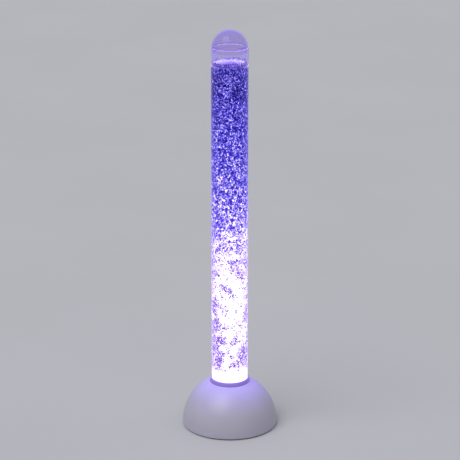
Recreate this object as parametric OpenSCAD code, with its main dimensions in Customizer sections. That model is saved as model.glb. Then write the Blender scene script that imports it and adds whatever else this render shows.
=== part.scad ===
// Bubble tube floor lamp: a clear tube of water standing in a domed base, which holds
// the lights under the tube, the air pump and the electronics.
// Millimetres, +Z up. The origin is on the floor at the tube's axis, the front faces -Y
// and the service panel faces +Y.

/* [Tube] */
// Outer diameter of the clear tube
tube_od = 110; // [106:1:114]
// Wall thickness of the clear tube
tube_wall = 5; // [4:0.5:6]
// Height of the tube's rim above the floor
tube_top_z = 1175; // [900:5:1400]
// Depth of the water surface below the rim
water_drop = 50; // [40:1:90]
// Thickness of the plug that closes the tube's foot
plug_h = 12; // [10:1:16]
// Section diameter of the sealing rings
seal_d = 3; // [2.5:0.1:3.4]

/* [Cap] */
// How far the cap's edge reaches over the tube's rim
cap_seat = 3.5; // [3:0.25:3.75]
// Wall thickness of the domed cap
cap_t = 3; // [2.5:0.25:3.5]
// Wall thickness of the cap's sleeve
sleeve_t = 3; // [2:0.25:4]
// Depth that the sleeve reaches into the tube
sleeve_h = 12; // [8:1:20]

/* [Base shell] */
// Outer radius of the domed base
base_r = 144; // [132:1:158]
// Wall thickness of the domed base
shell_t = 4; // [3:0.5:4.5]
// Height of the shell's bottom edge above the floor
foot_gap = 4; // [3:0.5:6]
// Height of the upright lip below the dome
rim_lip = 4; // [3:0.5:6]
// Depth of the base plate inside the shell's bottom edge
plate_recess = 2; // [1.5:0.5:3]
// Thickness of the base plate
plate_t = 4; // [3.5:0.5:5]
// Number of screws and of feet round the base
base_count = 6; // [6:6:12]
// Radius of a rubber foot
foot_r = 12; // [10:0.5:13]

/* [Collar] */
// Height of the tube's collar above the dome's opening
collar_h = 12; // [9:0.5:16]
// Wall thickness of the collar at its foot
collar_t = 5.1; // [4.8:0.1:6]
// How far the collar narrows towards its top
collar_taper = 2.6; // [1.5:0.1:2.8]
// Radius of the collar's rounded top edge
collar_round = 1.2; // [0.8:0.1:1.5]
// Width of the collar's flange under the dome
collar_flange = 11; // [8:0.5:14]

/* [Light] */
// Height of the pillars that carry the tube
pillar_h = 52; // [50:1:60]
// Radius of a pillar
pillar_r = 5; // [4.5:0.25:6]
// Thickness of the metal carrier plate
carrier_t = 4; // [3:0.5:6]
// Radius of the carrier plate's middle hole
carrier_hole_r = 14; // [13.5:0.25:15]
// Gap between the light board's edge and the wall round it
led_board_gap = 2.5; // [2:0.5:4]
// Height between the carrier plate and the tube's foot
lamp_room_h = 12; // [11.5:0.5:16]
// Thickness of the light diffuser
diffuser_t = 2; // [1.5:0.25:3]
// Wall thickness of the tube's socket
socket_wall = 6; // [5:0.5:7]
// Depth that the tube sits in its socket
socket_depth = 22; // [18:1:30]

/* [Air inlet] */
// Radius of the air stone
stone_r = 34; // [28:1:38]
// Thickness of the air stone
stone_h = 14; // [12:1:18]
// Radius of the inlet stem's shank
stem_r = 5; // [4.5:0.25:5.5]
// Radius of the stem's flange
stem_flange_r = 12; // [11:0.5:13]
// Length of the hose barb below the stem
barb_len = 20; // [14:1:22]

/* [Air line] */
// Outer diameter of the air hose
hose_od = 7; // [6:0.25:7.5]
// Inner diameter of the air hose
hose_id = 4; // [3.5:0.25:4.5]
// Radius of the hose's bend under the stem
hose_bend_r = 20; // [18:1:22]
// Radius of the check valve's body
valve_r = 7; // [6.5:0.25:8]
// Length of each half of the check valve's body
valve_half = 10; // [9:0.5:11]
// Distance from the tube's axis to the near end of the check valve
valve_x = 30; // [30:0.5:33]
// Thickness of the check valve's disc
disc_t = 1.2; // [1:0.1:1.6]
// Free travel of the check valve's disc
disc_travel = 2.5; // [1.5:0.1:3]

/* [Air pump] */
// Distance of the pump's middle from the base's rim
pump_inset = 46; // [45.5:0.5:48]
// Width of the pump's case
pump_w = 44; // [43:0.5:46]
// Length of the pump's case
pump_l = 92; // [90:1:94]
// Height of the pump's case without its cover
pump_case_h = 34; // [33.5:0.5:36]
// Wall thickness of the pump's case
pump_wall = 2; // [1.5:0.25:2.25]
// Thickness of the pump's cover
pump_cover_t = 4; // [3:0.5:4]
// Height of the pump's rubber mounts
pump_mount_h = 3; // [2:0.5:4]
// Thickness of the swinging arm
arm_t = 3; // [2:0.25:3.5]
// Width of the swinging arm
arm_w = 8; // [6:0.5:9]
// Swing of the pump's arm to each side in degrees
arm_swing = 1.5; // [1:0.25:1.75]
// Radius of the pump's rubber diaphragm
diaphragm_r = 9; // [8:0.5:10]

/* [Control board] */
// Distance of the control board's middle from the base's rim
board_inset = 44; // [43:0.5:46]
// Width of the control board
board_w = 44; // [42:1:46]
// Length of the control board
board_l = 72; // [68:1:74]
// Thickness of the control board
board_t = 1.6; // [1.2:0.2:2]
// Height of the spacers under the control board
standoff_h = 8; // [6:0.5:12]
// Radius of the pump's lead
pump_lead_r = 2; // [1.5:0.25:2.25]
// Radius of the light board's and the power leads
thin_lead_r = 1.5; // [1.25:0.25:1.75]

/* [Service panel] */
// Width of the opening for the service panel
window_w = 72; // [70:1:74]
// Height of the opening for the service panel
window_h = 32; // [30:1:34]
// Height of the opening's lower edge above the floor
window_z = 20; // [18:0.5:21]
// Distance of the panel's inner face from the base's rim
panel_inset = 20; // [19:0.5:21]
// Wall thickness of the service panel
panel_t = 2.4; // [2:0.1:3]
// Radius of the power inlet's threaded barrel
inlet_r = 5.4; // [5:0.1:6]
// Radius of the hole that takes the power plug
plug_hole_r = 2.75; // [2.55:0.05:2.8]
// Width of the switch's rocker
rocker_w = 16.6; // [16:0.2:17]
// Height of the switch's rocker
rocker_h = 11; // [10:0.25:11.5]
// Tilt of the rocker to each side of its middle in degrees
rocker_tilt = 8; // [5:0.5:8]

/* [Fasteners] */
// Shank radius of the larger screws
screw_r = 1.9; // [1.6:0.1:2]
// Head radius of the larger screws
screw_head_r = 3.8; // [3.4:0.1:4]
// Shank radius of the smaller screws
small_screw_r = 1.3; // [1.1:0.1:1.4]
// Head radius of the smaller screws
small_head_r = 2.8; // [2.4:0.1:3]

/* [Hidden] */
$fn = 96;

// Clearances
hair = 0.05;          // a push fit, on the radius
snug = 0.1;           // two bonded or screwed pieces that nearly touch
slip = 0.2;           // a screw in its clearance hole, or a panel in its window
ease = 0.3;           // a piece that moves past another
past = 1;             // how far a cut runs past the face it opens
head_room = 0.7;      // round a screw's head or a nut
lead_lift = 0.3;      // how far a lead lies above the base plate

// Tube
tube_r = tube_od / 2;
bore_r = tube_r - tube_wall;
seal_r = seal_d / 2;

// Base shell
dome_z = foot_gap + rim_lip;
inner_r = base_r - shell_t;
plate_z = foot_gap + plate_recess;
plate_top = plate_z + plate_t;
plate_r = inner_r - 2 * slip;
boss_r = 4.5;
boss_inset = 9;
boss_ring = inner_r - boss_inset;
boss_top = 90;
screw_hole_r = screw_r + slip - hair;
pilot_r = screw_r + hair;
head_h = 2;
small_head_h = 1.6;
base_screw_len = 16;
pilot_deep = base_screw_len - plate_t + past;
foot_inset = 26;
foot_ring = base_r - foot_inset;
foot_step = 360 / base_count;
foot_bevel = 1;
foot_seat = foot_gap - past;
foot_hole_r = screw_r + slip;
foot_cup_r = screw_head_r + head_room;
foot_screw_tip = 0.5;
slot_w = 4;
slot_l = 36;
slot_pitch = 8;
slot_count = 4;
slot_inset = 74;
slot_y = base_r - slot_inset;

// Height on the dome's sphere of radius r at the distance d from the axis
function dome_at(r, d) = dome_z + sqrt(r * r - d * d);

// Collar
collar_in_r = tube_r + 2 * slip;
collar_r = collar_in_r + collar_t;
opening_r = collar_r + ease;
opening_z = dome_at(base_r, opening_r);
collar_top = opening_z + collar_h;
collar_skirt = 6;
collar_foot = dome_at(inner_r, opening_r) - collar_skirt;
collar_flange_t = 3.4;
collar_seal_z = opening_z + collar_h / 2;

// Height stack from the base plate up to the tube's foot
carrier_z = plate_top + pillar_h;
carrier_top = carrier_z + carrier_t;
socket_flange_t = 5;
ledge_t = 4;
ledge_w = 2.5;
ledge_z = carrier_top + lamp_room_h;
ledge_in_r = bore_r - ledge_w;
socket_bore_r = tube_r + slip + hair;
socket_r = socket_bore_r + socket_wall;
lamp_room_edge = 2;
lamp_room_r = bore_r + lamp_room_edge;
socket_top = ledge_z + socket_depth;
pillar_ring = socket_r + screw_head_r + head_room;
carrier_edge = 6;
carrier_r = pillar_ring + carrier_edge;
diffuser_top = ledge_z + diffuser_t;
plug_top = diffuser_top + plug_h;
water_top = tube_top_z - water_drop;
pillar_hole_deep = 14;
pillar_screw_in = 12;

// Cap
cap_r = bore_r + cap_seat;
sleeve_r = bore_r - ease;
sleeve_lip_h = 5;
sleeve_lip_r = sqrt(pow(cap_r - cap_t, 2) - pow(sleeve_lip_h, 2)) - snug;

// Air inlet
washer_t = 1.5;
stem_flange_t = 2.5;
washer_top = plug_top + washer_t;
stone_z = washer_top + stem_flange_t;
stem_tip_r = stem_r - 1;
stem_tip_h = 8;
nut_t = 6;
nut_across = 17;
nut_corner_r = nut_across / sqrt(3);
shank_out = 4;
stem_foot = diffuser_top - nut_t - shank_out;
stem_hole_r = stem_r + snug;
barb_r = hose_id / 2 - hair;
barb_z = stem_foot - barb_len;
barb_groove = 0.35;
air_bore_r = 1.1;
diffuser_hole_r = nut_corner_r + head_room;
teeth = 3;
water_gap = 0.1;

// Air line
hose_r = hose_od / 2;
pump_off = base_r - pump_inset;
pump_side = pump_off - pump_w / 2;
pump_z = plate_top + pump_mount_h;
line_up = 6;
line_z = pump_z + line_up;
valve_far = valve_x + 2 * valve_half;
valve_mid = valve_x + valve_half;
valve_barb = 7;
cavity_len = disc_t + disc_travel + ease;
cavity_r = 5;
disc_r = 4;
nipple_x = (pump_side + valve_far + valve_barb) / 2;

// Light board
led_board_r = lamp_room_r - led_board_gap;
led_board_t = 1.6;
led_hole_edge = 4;
led_hole_r = carrier_hole_r + led_hole_edge;
led_top = carrier_top + led_board_t;
chip_w = 5;
chip_h = 1.6;
inner_chip_in = 10;
outer_chip_in = 6;
inner_ring = led_hole_r + inner_chip_in;
outer_ring = led_board_r - outer_chip_in;
inner_count = 8;
outer_count = 16;
led_screw_ring = (inner_ring + outer_ring) / 2;
led_screw_tip = 3;
led_screw_turn = 60;
led_plug_in = 1;
led_plug_x = led_hole_r + led_plug_in;
led_plug_w = 5.5;
led_plug_l = 8;
led_plug_h = 4.4;

// Air pump, in its own frame: origin at the middle of the case's underside
pump_floor = 2.5;
pump_in_w = pump_w - 2 * pump_wall;
pump_in_l = pump_l - 2 * pump_wall;
post_r = 4.2;
post_x = pump_in_w / 2 - post_r + slip;
post_y = pump_in_l / 2 - post_r + slip;
pump_screw_len = 9;
arm_z = 20;
pole_gap_h = 12;
leg_t = 6;
core_w = 14;
core_back = 6;
core_y = core_back - pump_in_l / 2;
yoke_t = 8;
leg_len = 13.5;
core_low = arm_z - pole_gap_h / 2 - leg_t;
coil_over = 5.5;
winding_t = 4;
coil_x = core_w / 2 + winding_t;
magnet_t = 6;
magnet_h = 14;
magnet_w = 10;
arm_back = 2;
arm_end = pump_in_l / 2 - arm_back;
grommet_l = 8;
pole_gap = 2;
magnet_y = core_y + yoke_t + leg_len + pole_gap + magnet_h / 2 * sin(arm_swing);
arm_y = magnet_y + magnet_t;
grommet_w = arm_w + 8;
grommet_h = 12;
// The arm swings about the middle of its grommet
slot_ease = snug + grommet_l / 2 * sin(arm_swing);
valve_box_top = 10;
valve_box_y = -5;
valve_box_gap = 3;
valve_box_end = arm_end - grommet_l - valve_box_gap;
valve_box_w = 20;
diaphragm_in = 15;
diaphragm_y = valve_box_end - diaphragm_in;
cover_lip_h = 3;
cover_lip_t = 1.5;

// Control board, in its own frame: origin at the middle of its underside
board_off = base_r - board_inset;
board_z = plate_top + standoff_h;
board_top = board_z + board_t;
standoff_r = 3;
standoff_in = 5;
standoff_x = board_w / 2 - standoff_in;
standoff_y = board_l / 2 - standoff_in;
block_d = 8;
block_h = 10;
pump_block_y = -20;
led_block_y = 14;
block_w = 15;
block_in = 1;
well_r = 2.2;
well_deep = 3;
lead_up = 5;
receiver_spot = [9, -18];
receiver_size = [18, 14, 1];
can_size = [14, 10, 2.2];
// Each capacitor's place, radius and height
capacitors = [[14, 0, 5, 14], [14, 12, 5, 14], [4, 20, 4, 11]];
driver_size = [10, 4, 8];
driver_x = -8;
driver_ys = [-8, -1, 6];
controller_size = [9, 9, 1.6];
controller_x = -10.5;
controller_in = 0.5;

// Leads
panel_y = base_r - panel_inset;
pump_lead_z = plate_top + pump_lead_r + lead_lift;
thin_lead_z = plate_top + thin_lead_r + lead_lift;
plug_z = board_top + lead_up;
led_lead_x = carrier_hole_r - thin_lead_r - ease;
led_lead_z = led_top + thin_lead_r + ease;
board_turn = 12;
turn_x = board_off - board_w / 2 - board_turn;
pump_lead_in = 6;
pump_lead_y = core_y + pump_lead_in;
pump_turn = 6;
pump_lead_x = pump_side - pump_turn;
power_turn = 24;
power_turn_y = panel_y - power_turn;
power_out = 10;
power_end_y = board_l / 2 + power_out;
jumper_turn = 18;
jumper_y = panel_y - jumper_turn;
tail_gap = 5;

// Service panel
panel_w = window_w - 2 * slip;
panel_h = window_h - 2 * slip;
panel_front = panel_y + panel_t;
panel_low = window_z + slip;
panel_mid_z = window_z + window_h / 2;
panel_foot_l = 12;
panel_screw_x = 25;
panel_screw_y = panel_y - panel_foot_l / 2;
panel_screw_deep = panel_t - 0.4;
inlet_x = -18;
inlet_flange_r = inlet_r + 1.8;
inlet_flange_t = 1.8;
inlet_len = 13;
inlet_deep = 9.5;
inlet_back = panel_y - inlet_len + panel_t;
inlet_nut_across = 14;
inlet_nut_t = 4;
pin_r = 1.05;
pin_short = 0.8;
switch_x = 15;
bezel_t = 2;
bezel_rim = 1.6;
pocket_w = rocker_w + 1.4;
pocket_h = rocker_h + 2 * ease;
bezel_w = pocket_w + 2 * bezel_rim;
bezel_h = pocket_h + 2 * bezel_rim;
switch_w = pocket_w + 1;
switch_h = pocket_h + 1;
switch_len = 16;
pivot_y = panel_front + bezel_t / 2;
pivot_r = 0.55;
pivot_in = 0.8;
rocker_low = 2.2;
rocker_high = 2.6;
rocker_dip = 1.2;
pocket_deep = rocker_low + rocker_w / 2 * sin(rocker_tilt) + ease;

// Colours
shell_white = [0.90, 0.90, 0.92];
soft_white = [0.86, 0.86, 0.89];
clear = [0.85, 0.88, 1.0, 0.25];
water_blue = [0.45, 0.35, 1.0, 0.45];
frost = [0.95, 0.95, 1.0, 0.8];
black = [0.08, 0.08, 0.09];
dark = [0.16, 0.16, 0.18];
rubber_grey = [0.22, 0.22, 0.24];
steel = [0.72, 0.73, 0.75];
nickel = [0.80, 0.79, 0.74];
alloy = [0.78, 0.79, 0.81];
board_green = [0.05, 0.30, 0.15];
board_white = [0.93, 0.93, 0.92];
copper = [0.72, 0.38, 0.18];
stone_blue = [0.45, 0.55, 0.70];

// Copies of a child round the axis
module ring_of(count, radius, turn = 0) {
  for (i = [0 : count - 1])
    rotate([0, 0, turn + i * 360 / count])
      translate([radius, 0, 0])
        children();
}

// A pan-head screw along Z: its head's seat is at z = 0 and its shank runs down
module pan_screw(head_r, shank_r, len, top_h = head_h) {
  difference() {
    union() {
      cylinder(r = head_r, h = top_h);
      translate([0, 0, -len])
        cylinder(r = shank_r, h = len + top_h / 2);
    }
    for (turn = [0, 90])
      rotate([0, 0, turn])
        translate([0, 0, top_h])
          cube([head_r * 1.2, head_r * 0.25, top_h], center = true);
  }
}

// The same screw from below: head down, shank up
module screw_up(head_r, shank_r, len, top_h = head_h) {
  mirror([0, 0, 1])
    pan_screw(head_r, shank_r, len, top_h);
}

// A straight length of lead between two points
module lead_run(a, b, r) {
  run = b - a;
  len = norm(run);
  translate(a)
    rotate([0, acos(run[2] / len), atan2(run[1], run[0])])
      cylinder(r = r, h = len);
}

// A lead along a list of points, its corners round and a hair fuller than its runs
module lead(points, r) {
  for (i = [0 : len(points) - 2])
    lead_run(points[i], points[i + 1], r);
  for (i = [1 : len(points) - 2])
    translate(points[i])
      sphere(r = r + hair);
}

// A hose barb's half outline from its root at x = 0 outwards, radius along y
function barb_line(length) = [
  for (i = [0 : teeth - 1], side = [0, 1])
    [length * (i + side) / teeth, side == 0 ? barb_r : barb_r - barb_groove]
];

// A check valve's barb along +X from x = 0, solid
module side_barb() {
  rotate([0, 90, 0])
    rotate_extrude()
      polygon(concat([[0, 0]], [for (p = barb_line(valve_barb)) [p[1], p[0]]],
        [[0, valve_barb]]));
}

// Positions of the pump's four corner posts
module at_posts() {
  for (x = [-post_x, post_x], y = [-post_y, post_y])
    translate([x, y, 0])
      children();
}

module at_pump() {
  translate([-pump_off, 0, pump_z])
    children();
}

module at_board(z = 0) {
  translate([board_off, 0, board_z + z])
    children();
}

module at_standoffs() {
  for (x = [-standoff_x, standoff_x], y = [-standoff_y, standoff_y])
    translate([x, y, 0])
      children();
}

// ---- Base ----

module base_shell() {
  color(shell_white)
    difference() {
      union() {
        rotate_extrude()
          union() {
            intersection() {
              translate([0, dome_z])
                difference() {
                  circle(r = base_r);
                  circle(r = inner_r);
                }
              translate([opening_r, dome_z])
                square([base_r, base_r + past]);
            }
            translate([inner_r, foot_gap])
              square([shell_t, rim_lip]);
          }
        intersection() {
          ring_of(base_count, boss_ring)
            translate([0, 0, plate_top])
              cylinder(r = boss_r, h = boss_top);
          translate([0, 0, dome_z])
            sphere(r = inner_r + shell_t / 2);
        }
      }
      ring_of(base_count, boss_ring)
        translate([0, 0, plate_top - past])
          cylinder(r = pilot_r, h = pilot_deep + past);
      translate([-window_w / 2, panel_y - panel_foot_l, window_z])
        cube([window_w, base_r, window_h]);
    }
}

module tube_collar() {
  top_r = collar_r - collar_taper;
  color(soft_white)
    rotate_extrude()
      difference() {
        union() {
          translate([collar_in_r, collar_foot])
            square([collar_t, opening_z - collar_foot + collar_h / 4]);
          polygon(concat(
            [
              [collar_in_r, opening_z],
              [collar_r, opening_z],
              [collar_r, opening_z + collar_h / 4]
            ],
            [
              for (a = [0 : 15 : 90])
                [top_r - collar_round * (1 - cos(a)), collar_top - collar_round * (1 - sin(a))]
            ],
            [[collar_in_r, collar_top]]
          ));
          intersection() {
            translate([0, dome_z])
              difference() {
                circle(r = inner_r - snug);
                circle(r = inner_r - snug - collar_flange_t);
              }
            translate([collar_in_r, dome_z])
              square([collar_t + collar_flange, base_r]);
          }
        }
        translate([0, collar_seal_z - seal_r - slip])
          square([collar_in_r + seal_d, seal_d + 2 * slip]);
      }
}

module collar_seal() {
  color(black)
    translate([0, 0, collar_seal_z])
      rotate_extrude()
        translate([tube_r + hair + seal_r, 0])
          circle(r = seal_r, $fn = 32);
}

module base_plate() {
  color(dark)
    difference() {
      translate([0, 0, plate_z])
        cylinder(r = plate_r, h = plate_t);
      translate([0, 0, plate_z - past]) {
        ring_of(base_count, boss_ring)
          cylinder(r = screw_hole_r, h = plate_t + 2 * past);
        ring_of(base_count, foot_ring, foot_step / 2)
          cylinder(r = pilot_r, h = plate_t - foot_screw_tip + past + slip);
        ring_of(4, pillar_ring, 45)
          cylinder(r = screw_hole_r, h = plate_t + 2 * past);
        translate([-pump_off, 0, 0])
          at_posts()
            cylinder(r = small_screw_r + slip, h = plate_t + 2 * past);
        translate([board_off, 0, 0])
          at_standoffs()
            cylinder(r = small_screw_r + hair, h = plate_t + 2 * past);
        for (side = [-1, 1])
          translate([side * panel_screw_x, panel_screw_y, 0])
            cylinder(r = small_screw_r + slip, h = plate_t + 2 * past);
        for (side = [-1, 1], i = [0 : slot_count - 1])
          translate([0, side * (slot_y + i * slot_pitch), 0])
            vent_slot();
      }
    }
}

// A vent slot with round ends, long enough to pass right through the base plate
module vent_slot() {
  run = slot_l - slot_w;
  translate([-run / 2, -slot_w / 2, 0])
    cube([run, slot_w, plate_t + 2 * past]);
  for (x = [-run / 2, run / 2])
    translate([x, 0, 0])
      cylinder(r = slot_w / 2, h = plate_t + 2 * past);
}

module rubber_feet() {
  color(rubber_grey)
    ring_of(base_count, foot_ring, foot_step / 2)
      rotate_extrude()
        polygon([
          [foot_cup_r, 0],
          [foot_r - foot_bevel, 0],
          [foot_r, foot_bevel],
          [foot_r, plate_z],
          [foot_hole_r, plate_z],
          [foot_hole_r, foot_seat],
          [foot_cup_r, foot_seat]
        ]);
}

module foot_screws() {
  color(steel)
    ring_of(base_count, foot_ring, foot_step / 2)
      translate([0, 0, foot_seat])
        screw_up(screw_head_r, screw_r, plate_top - foot_screw_tip - foot_seat);
}

module base_screws() {
  color(steel)
    ring_of(base_count, boss_ring)
      translate([0, 0, plate_z])
        screw_up(screw_head_r, screw_r, base_screw_len);
}

// ---- Service panel ----

module rear_panel() {
  color(dark)
    difference() {
      union() {
        intersection() {
          translate([-panel_w / 2, panel_y, panel_low])
            cube([panel_w, base_r, panel_h]);
          translate([0, 0, dome_z])
            sphere(r = base_r - slip);
        }
        translate([-panel_w / 2, panel_y, plate_top])
          cube([panel_w, panel_t, panel_low - plate_top + panel_t]);
        translate([-panel_w / 2, panel_y - panel_foot_l, plate_top])
          cube([panel_w, panel_foot_l + panel_t / 2, panel_t]);
      }
      translate([-panel_w / 2 + panel_t, panel_front, panel_low + panel_t])
        cube([panel_w - 2 * panel_t, base_r, panel_h - 2 * panel_t]);
      translate([inlet_x, panel_y - past, panel_mid_z])
        rotate([-90, 0, 0])
          cylinder(r = inlet_r + snug, h = panel_t + 2 * past);
      translate([switch_x - switch_w / 2 - snug, panel_y - past, panel_mid_z - switch_h / 2 - snug])
        cube([switch_w + 2 * snug, panel_t + 2 * past, switch_h + 2 * snug]);
      for (side = [-1, 1])
        translate([side * panel_screw_x, panel_screw_y, plate_top - past])
          cylinder(r = small_screw_r + hair, h = panel_screw_deep + past);
    }
}

module rear_panel_screws() {
  color(steel)
    for (side = [-1, 1])
      translate([side * panel_screw_x, panel_screw_y, plate_z])
        screw_up(small_head_r, small_screw_r, plate_t + panel_screw_deep - slip, small_head_h);
}

module power_inlet() {
  color(black)
    translate([inlet_x, 0, panel_mid_z])
      rotate([-90, 0, 0])
        difference() {
          union() {
            translate([0, 0, inlet_back])
              cylinder(r = inlet_r, h = panel_front - inlet_back + inlet_flange_t / 2);
            translate([0, 0, panel_front])
              cylinder(r = inlet_flange_r, h = inlet_flange_t);
          }
          translate([0, 0, panel_front + inlet_flange_t - inlet_deep])
            cylinder(r = plug_hole_r, h = inlet_deep + past);
        }
}

module power_inlet_pin() {
  color(nickel)
    translate([inlet_x, panel_front + inlet_flange_t - inlet_deep, panel_mid_z])
      rotate([-90, 0, 0])
        union() {
          cylinder(r = pin_r, h = inlet_deep - pin_short - pin_r);
          translate([0, 0, inlet_deep - pin_short - pin_r])
            sphere(r = pin_r);
        }
}

module power_inlet_nut() {
  color(nickel)
    translate([inlet_x, panel_y - inlet_nut_t, panel_mid_z])
      rotate([-90, 0, 0])
        difference() {
          cylinder(r = inlet_nut_across / sqrt(3), h = inlet_nut_t, $fn = 6);
          translate([0, 0, -past])
            cylinder(r = inlet_r + hair, h = inlet_nut_t + 2 * past);
        }
}

module switch_body() {
  color(black)
    translate([switch_x, 0, panel_mid_z])
      difference() {
        union() {
          translate([-switch_w / 2, panel_front - switch_len, -switch_h / 2])
            cube([switch_w, switch_len + bezel_t / 2, switch_h]);
          translate([-bezel_w / 2, panel_front, -bezel_h / 2])
            cube([bezel_w, bezel_t, bezel_h]);
        }
        translate([-pocket_w / 2, pivot_y - pocket_deep, -pocket_h / 2])
          cube([pocket_w, pocket_deep + base_r, pocket_h]);
        translate([0, pivot_y, -pocket_h / 2 - pivot_in])
          cylinder(r = pivot_r + hair, h = pocket_h + 2 * pivot_in);
      }
}

// A shallow V-fronted rocker on two pivot stubs, pressed in at its +X end
module switch_rocker() {
  color([0.55, 0.08, 0.08])
    translate([switch_x, pivot_y, panel_mid_z])
      rotate([0, 0, -rocker_tilt])
        union() {
          translate([0, 0, -rocker_h / 2])
            linear_extrude(height = rocker_h)
              polygon([
                [-rocker_w / 2, -rocker_low],
                [rocker_w / 2, -rocker_low],
                [rocker_w / 2, rocker_high],
                [0, rocker_dip],
                [-rocker_w / 2, rocker_high]
              ]);
          translate([0, 0, -pocket_h / 2 - pivot_in + snug])
            cylinder(r = pivot_r, h = pocket_h + 2 * pivot_in - 2 * snug);
        }
}

// ---- Tube ----

module main_tube() {
  color(clear)
    translate([0, 0, ledge_z])
      difference() {
        cylinder(r = tube_r, h = tube_top_z - ledge_z);
        translate([0, 0, -past])
          cylinder(r = bore_r, h = tube_top_z - ledge_z + 2 * past);
      }
}

module end_plug() {
  groove_r = bore_r - hair - seal_d - hair;
  color(clear)
    translate([0, 0, diffuser_top])
      rotate_extrude()
        difference() {
          translate([stem_hole_r, 0])
            square([bore_r - snug - stem_hole_r, plug_h]);
          translate([groove_r, plug_h / 2 - seal_r - snug])
            square([seal_d + past, seal_d + 2 * snug]);
        }
}

module plug_seal() {
  color(black)
    translate([0, 0, diffuser_top + plug_h / 2])
      rotate_extrude()
        translate([bore_r - hair - seal_r, 0])
          circle(r = seal_r, $fn = 32);
}

module light_diffuser() {
  color(frost)
    translate([0, 0, ledge_z])
      difference() {
        cylinder(r = bore_r - 2 * slip, h = diffuser_t);
        translate([0, 0, -past])
          cylinder(r = diffuser_hole_r, h = diffuser_t + 2 * past);
      }
}

module water_column() {
  color(water_blue)
    difference() {
      translate([0, 0, plug_top])
        cylinder(r = bore_r - water_gap, h = water_top - plug_top);
      translate([0, 0, plug_top - past])
        cylinder(r = stem_flange_r + water_gap, h = stone_z - plug_top + 2 * past);
      translate([0, 0, stone_z - water_gap])
        cylinder(r = stone_r + water_gap, h = stone_h + 2 * water_gap);
    }
}

module air_stone() {
  color(stone_blue)
    translate([0, 0, stone_z])
      difference() {
        cylinder(r = stone_r, h = stone_h);
        translate([0, 0, -past])
          cylinder(r = stem_tip_r + snug, h = stem_tip_h + past + slip);
      }
}

// A turned stem: the tip in the stone, a clamping flange, a threaded shank and a hose barb
module inlet_stem() {
  color(nickel)
    rotate_extrude()
      polygon(concat(
        [
          [air_bore_r, stone_z + stem_tip_h],
          [stem_tip_r, stone_z + stem_tip_h],
          [stem_tip_r, stone_z],
          [stem_flange_r, stone_z],
          [stem_flange_r, washer_top],
          [stem_r, washer_top],
          [stem_r, stem_foot]
        ],
        [for (p = barb_line(barb_len)) [p[1], stem_foot - p[0]]],
        [[air_bore_r, barb_z]]
      ));
}

module inlet_washer() {
  color(black)
    translate([0, 0, plug_top])
      difference() {
        cylinder(r = stem_flange_r, h = washer_t);
        translate([0, 0, -past])
          cylinder(r = stem_r + ease, h = washer_t + 2 * past);
      }
}

module inlet_nut() {
  color(nickel)
    translate([0, 0, diffuser_top - nut_t])
      difference() {
        cylinder(r = nut_corner_r, h = nut_t, $fn = 6);
        translate([0, 0, -past])
          cylinder(r = stem_hole_r, h = nut_t + 2 * past);
      }
}

module tube_socket() {
  color(dark)
    difference() {
      rotate_extrude()
        polygon([
          [lamp_room_r, carrier_top],
          [carrier_r, carrier_top],
          [carrier_r, carrier_top + socket_flange_t],
          [socket_r, carrier_top + socket_flange_t],
          [socket_r, socket_top],
          [socket_bore_r, socket_top],
          [socket_bore_r, ledge_z],
          [ledge_in_r, ledge_z],
          [ledge_in_r, ledge_z - ledge_t],
          [lamp_room_r, ledge_z - ledge_t]
        ]);
      ring_of(4, pillar_ring, 45)
        translate([0, 0, carrier_top - past])
          cylinder(r = screw_hole_r, h = socket_flange_t + 2 * past);
    }
}

module socket_screws() {
  color(steel)
    ring_of(4, pillar_ring, 45)
      translate([0, 0, carrier_top + socket_flange_t])
        pan_screw(screw_head_r, screw_r, socket_flange_t + carrier_t + pillar_screw_in);
}

// ---- Cap ----

module dome_cap() {
  color(clear)
    translate([0, 0, tube_top_z])
      rotate_extrude()
        intersection() {
          difference() {
            circle(r = cap_r);
            circle(r = cap_r - cap_t);
          }
          square([cap_r, cap_r]);
        }
}

// A sleeve that reaches into the tube, with a lip bonded inside the cap
module cap_sleeve() {
  sleeve_in_r = sleeve_r - sleeve_t;
  color(clear)
    translate([0, 0, tube_top_z])
      rotate_extrude()
        polygon([
          [sleeve_in_r, -sleeve_h],
          [sleeve_r, -sleeve_h],
          [sleeve_r, hair],
          [sleeve_lip_r, hair],
          [sleeve_lip_r, sleeve_lip_h],
          [sleeve_in_r, sleeve_lip_h]
        ]);
}

// ---- Light ----

module carrier_plate() {
  color(alloy)
    translate([0, 0, carrier_z])
      difference() {
        cylinder(r = carrier_r, h = carrier_t);
        translate([0, 0, -past]) {
          cylinder(r = carrier_hole_r, h = carrier_t + 2 * past);
          ring_of(4, pillar_ring, 45)
            cylinder(r = screw_hole_r, h = carrier_t + 2 * past);
          ring_of(3, led_screw_ring, led_screw_turn)
            cylinder(r = small_screw_r + hair, h = carrier_t + 2 * past);
        }
      }
}

module carrier_pillars() {
  color(alloy)
    ring_of(4, pillar_ring, 45)
      translate([0, 0, plate_top])
        difference() {
          cylinder(r = pillar_r, h = pillar_h);
          translate([0, 0, -past])
            cylinder(r = pilot_r, h = pillar_hole_deep + past);
          translate([0, 0, pillar_h - pillar_hole_deep])
            cylinder(r = pilot_r, h = pillar_hole_deep + past);
        }
}

module pillar_screws() {
  color(steel)
    ring_of(4, pillar_ring, 45)
      translate([0, 0, plate_z])
        screw_up(screw_head_r, screw_r, plate_t + pillar_screw_in);
}

module led_board() {
  color(board_white)
    translate([0, 0, carrier_top])
      difference() {
        cylinder(r = led_board_r, h = led_board_t);
        translate([0, 0, -past]) {
          cylinder(r = led_hole_r, h = led_board_t + 2 * past);
          ring_of(3, led_screw_ring, led_screw_turn)
            cylinder(r = small_screw_r + slip, h = led_board_t + 2 * past);
        }
      }
}

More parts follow.
